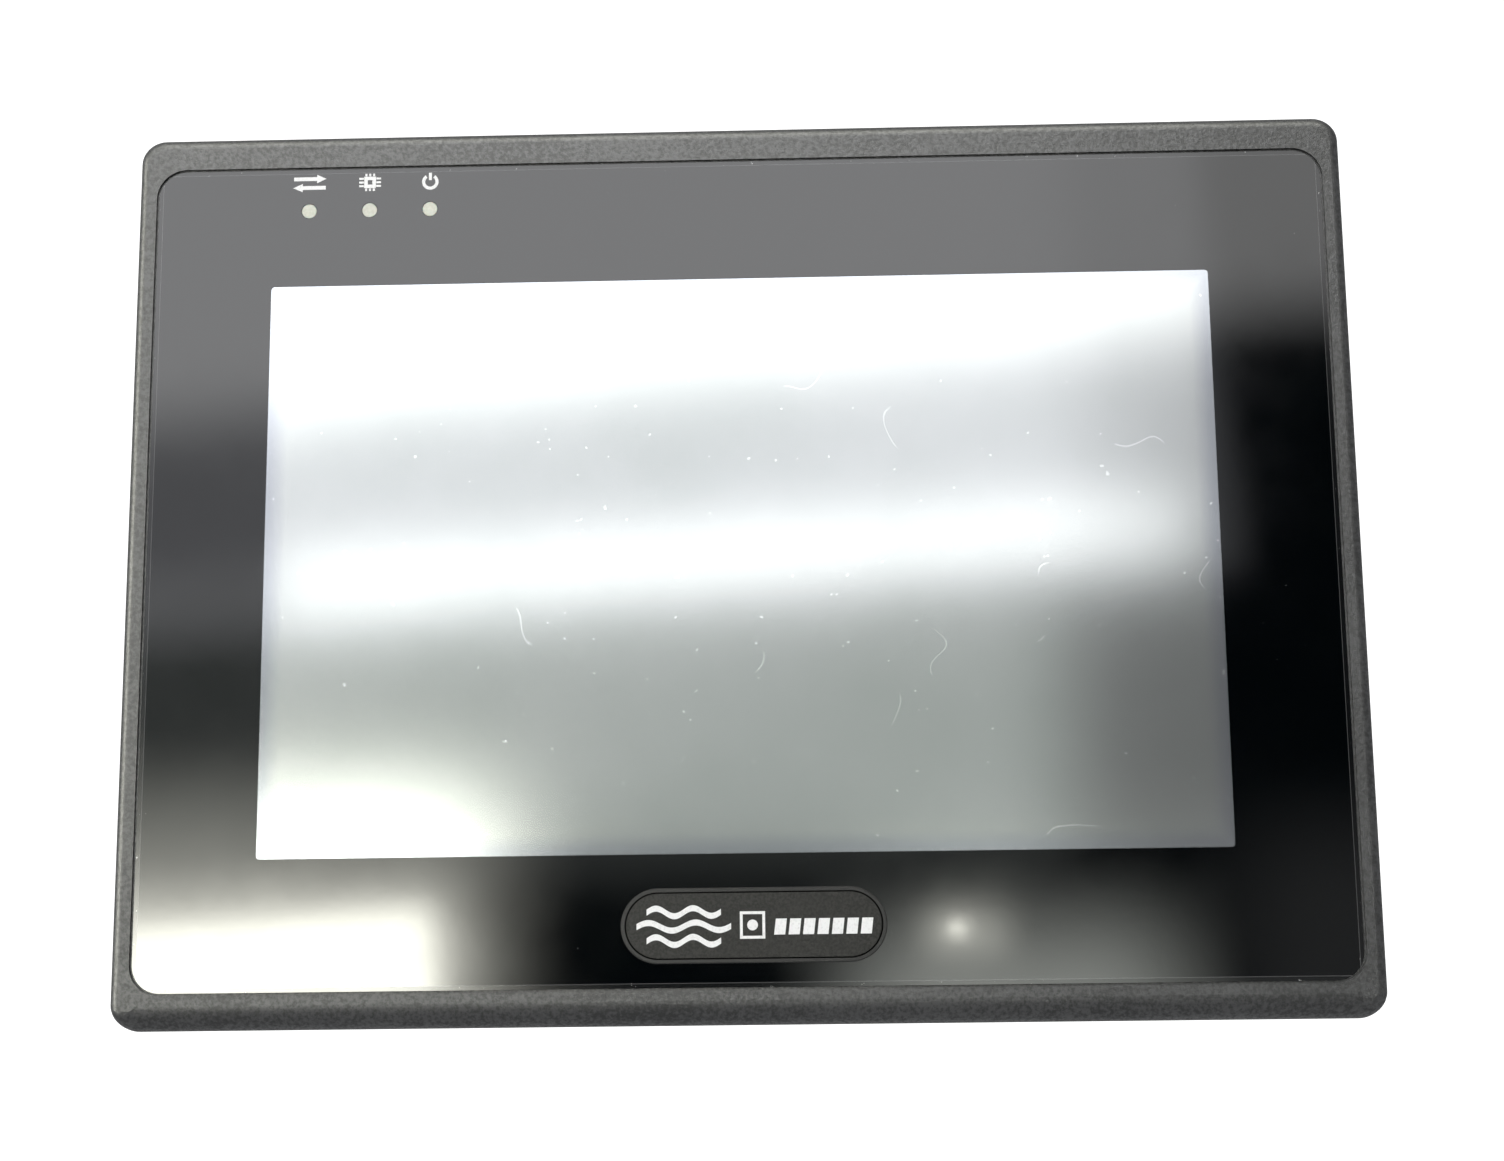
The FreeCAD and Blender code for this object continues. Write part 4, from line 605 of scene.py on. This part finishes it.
def camera():
    data = bpy.data.cameras.new("camera")
    data.sensor_width = SENSOR
    data.lens = LENS
    data.clip_start = 0.01
    eye = bpy.data.objects.new("camera", data)
    bpy.context.scene.collection.objects.link(eye)
    forward = CAMERA_FORWARD.normalized()
    right = forward.cross(CAMERA_UP).normalized()
    up = right.cross(forward)
    turn = Matrix((right, up, -forward)).transposed().to_4x4()
    eye.matrix_world = Matrix.Translation(CAMERA_PLACE) @ turn
    bpy.context.scene.camera = eye


def plane(name, centre, width, height, normal):
    """Flat card of the stage, facing along normal."""
    mesh = bpy.data.meshes.new(name)
    half_w = width / 2
    half_h = height / 2
    corners = [(-half_w, -half_h, 0), (half_w, -half_h, 0), (half_w, half_h, 0), (-half_w, half_h, 0)]
    mesh.from_pydata(corners, [], [(0, 1, 2, 3)])
    card = bpy.data.objects.new(name, mesh)
    turn = Vector(normal).to_track_quat("Z", "Y").to_matrix().to_4x4()
    card.matrix_world = Matrix.Translation(centre) @ turn
    bpy.context.scene.collection.objects.link(card)
    return card


def soft_card(name, centre, width, height, strength, feather, colour, tilt=0.0, facing=(0, 1, 0)):
    """Light card that adds its glow, fading towards its edges, to reflections only."""
    card = plane(name, centre, width, height, facing)
    place = Matrix.Translation(centre)
    card.matrix_world = place @ Matrix.Rotation(tilt, 4, "Y") @ place.inverted() @ card.matrix_world
    s = Shader(name)
    x, y, _ = s.axes()
    fade = None
    for axis, half in ((x, width / 2), (y, height / 2)):
        inside = s.math("SUBTRACT", half, s.math("ABSOLUTE", axis))
        step = s.ramp(inside, 0.0, feather)
        square = s.math("MULTIPLY", step, step)
        smooth = s.math("MULTIPLY", square, s.math("SUBTRACT", 3.0, s.math("MULTIPLY", step, 2.0)))
        fade = smooth if fade is None else s.math("MULTIPLY", fade, smooth)
    glow = s.node("ShaderNodeEmission")
    clear = s.node("ShaderNodeBsdfTransparent")
    both = s.node("ShaderNodeAddShader")
    s.put(glow.inputs["Color"], colour)
    s.put(glow.inputs["Strength"], s.math("MULTIPLY", fade, strength))
    s.tree.links.new(clear.outputs[0], both.inputs[0])
    s.tree.links.new(glow.outputs[0], both.inputs[1])
    s.tree.links.new(both.outputs[0], s.output.inputs["Surface"])
    card.data.materials.append(s.material)
    card.visible_camera = False
    card.visible_diffuse = False
    card.visible_shadow = False


def panel_card(name, x_range, z_range, strength, feather, tilt, depth, colour):
    """Soft card whose mirror image, seen from the camera, covers this part of the panel's face.

    The ranges and the feather are in millimetres on the face. The depth is how far behind WALL_Y the
    card stands, in metres, so that cards don't meet.
    """
    face_y = OVERLAY_LOW.y
    reach = (face_y - WALL_Y + depth) / (face_y - CAMERA_PLACE.y)
    corners = []
    for x, z in zip(x_range, z_range):
        corners.append((x * MM + (x * MM - CAMERA_PLACE.x) * reach,
                        z * MM + (z * MM - CAMERA_PLACE.z) * reach))
    (left, low), (right, high) = corners
    centre = Vector(((left + right) / 2, WALL_Y - depth, (low + high) / 2))
    soft_card(name, centre, right - left, high - low, strength, feather * MM * (1.0 + reach), colour, tilt)


def floor():
    """Round white floor that fades out, so it has no edge, and that is clear when seen from below."""
    ground = plane("floor", (0.0, 0.0, FLOOR_Z), 2 * FLOOR_RADIUS, 2 * FLOOR_RADIUS, (0, 0, 1))
    s = Shader("floor_white")
    s.set(Base_Color=s.mix(s.noise(0.3), (0.86, 0.86, 0.86), (0.9, 0.9, 0.9)), Roughness=0.9)
    x, y, _ = s.axes()
    radius = s.math("SQRT", s.math("ADD", s.math("MULTIPLY", x, x), s.math("MULTIPLY", y, y)))
    clear = s.node("ShaderNodeBsdfTransparent")
    blend = s.node("ShaderNodeMixShader")
    below = s.node("ShaderNodeNewGeometry").outputs["Backfacing"]
    s.put(blend.inputs[0], s.math("MAXIMUM", s.ramp(radius, FADE_FROM * FLOOR_RADIUS, FLOOR_RADIUS), below))
    s.tree.links.new(s.bsdf.outputs[0], blend.inputs[1])
    s.tree.links.new(clear.outputs[0], blend.inputs[2])
    s.tree.links.new(blend.outputs[0], s.output.inputs["Surface"])
    ground.data.materials.append(s.material)
    ground.visible_glossy = False


def dark_flag():
    """Black cloth behind the light cards, seen only in reflections."""
    flag = plane("dark_flag", (0.0, WALL_Y - FLAG_BEHIND, 0.35), 3.2, 2.6, (0, 1, 0))
    s = Shader("flag_black")
    s.set(Base_Color=(0.004, 0.005, 0.006), Roughness=1.0, Specular_IOR_Level=0.0)
    flag.data.materials.append(s.material)
    flag.visible_camera = False
    flag.visible_diffuse = False
    flag.visible_shadow = False


def area_light(name, place, target, size, power):
    """Soft rectangular light aimed at a point, kept out of the panel's reflections."""
    data = bpy.data.lights.new(name, "AREA")
    data.shape = "RECTANGLE"
    data.size = size[0]
    data.size_y = size[1]
    data.energy = power
    lamp = bpy.data.objects.new(name, data)
    lamp.location = place
    lamp.rotation_euler = (Vector(target) - Vector(place)).to_track_quat("-Z", "Y").to_euler()
    lamp.visible_camera = False
    lamp.visible_glossy = False
    bpy.context.scene.collection.objects.link(lamp)


def world():
    made = bpy.data.worlds.new("studio")
    made.use_nodes = True
    tree = made.node_tree
    shade = tree.nodes["Background"]
    seen = tree.nodes.new("ShaderNodeBackground")
    seen.inputs["Color"].default_value = (1.0, 1.0, 1.0, 1.0)
    seen.inputs["Strength"].default_value = BACKDROP
    shade.inputs["Color"].default_value = (0.97, 0.985, 1.0, 1.0)
    shade.inputs["Strength"].default_value = ROOM_LIGHT
    path = tree.nodes.new("ShaderNodeLightPath")
    choice = tree.nodes.new("ShaderNodeMixShader")
    tree.links.new(path.outputs["Is Camera Ray"], choice.inputs[0])
    tree.links.new(shade.outputs[0], choice.inputs[1])
    tree.links.new(seen.outputs[0], choice.inputs[2])
    tree.links.new(choice.outputs[0], tree.nodes["World Output"].inputs["Surface"])
    bpy.context.scene.world = made


WHITE = (1.0, 1.0, 1.0)
WARM = (1.0, 1.0, 0.89)
COOL = (0.98, 0.99, 1.04)
# How far the mirrored room's cards are turned about Y.
LEAN = math.radians(-5.0)
SLIGHT_LEAN = math.radians(-3.3)
LAMP_LEAN = math.radians(-4.0)

# What the panel's face mirrors: name, x range, z range, strength, feather, tilt, depth and colour.
PANEL_CARDS = (
    ("card_ceiling", (-210, 106), (20.5, 420), 2.9, 18, LEAN, 0.20, WHITE),
    ("card_wall", (-130, 81), (-13, 160), 1.0, 9, SLIGHT_LEAN, 0.18, COOL),
    ("card_wall_left", (-130, 62), (-12, 160), 0.5, 16, SLIGHT_LEAN, 0.17, COOL),
    ("card_band", (-150, 60), (-9, 7), 0.4, 7, SLIGHT_LEAN, 0.16, WHITE),
    ("card_band_middle", (-78, 76), (-8.5, 10), 1.7, 7, SLIGHT_LEAN, 0.15, WHITE),
    ("card_lower", (-140, 60), (-58, 2), 0.62, 16, 0.0, 0.14, (0.95, 1.02, 0.97)),
    ("card_low_left", (-150, -27), (-98, -26), 4.6, 27, 0.0, 0.12, WARM),
    ("card_table", (-150, -38), (-90, -46), 11.0, 17, 0.0, 0.10, WARM),
    ("card_lamp", (-118, -45.5), (-78, -54), 16.0, 7, LAMP_LEAN, 0.09, WARM),
    ("card_veil", (5, 80), (-120, -48), 5.5, 26, 0.0, 0.08, (0.96, 1.0, 0.93)),
    ("card_halo", (25, 45), (-67, -53), 5.0, 7, 0.0, 0.07, WARM),
    ("card_spark", (31.4, 36.4), (-61.8, -57.8), 36.0, 2.4, 0.0, 0.06, WARM),
    ("card_right", (66, 150), (-120, -32), 0.3, 26, 0.0, 0.05, WHITE),
)

# Area lights: name, place, target, size and power.
AREA_LIGHTS = (
    ("key", (-0.9, -1.0, 1.1), (0, 0, 0), (0.9, 0.9), 19.0),
    ("fill_right", (1.3, -0.4, 0.5), (0, 0, 0), (0.8, 1.2), 1.5),
    ("rear_left", (-0.9, 1.2, 0.9), (0, 0, 0), (1.0, 1.0), 14.0),
    ("rear_right", (1.1, 1.1, 0.5), (0, 0, 0), (0.8, 1.0), 8.0),
)


def lights():
    """Cards that the panel's face mirrors, two more for its rounded edges, and area lights."""
    for card in PANEL_CARDS:
        panel_card(*card)
    soft_card("card_side", Vector((-1.5, -0.9, 0.1)), 1.2, 1.8, 10.0, 0.3,
              colour=WARM, facing=(1.5, 0.9, -0.1))
    soft_card("card_overhead", Vector((-0.1, -1.1, 1.7)), 2.2, 1.5, 5.0, 0.3,
              colour=WARM, facing=(0.1, 1.1, -1.7))
    for light in AREA_LIGHTS:
        area_light(*light)


main()
camera()
floor()
dark_flag()
world()
lights()
bpy.context.scene.view_settings.view_transform = "Standard"
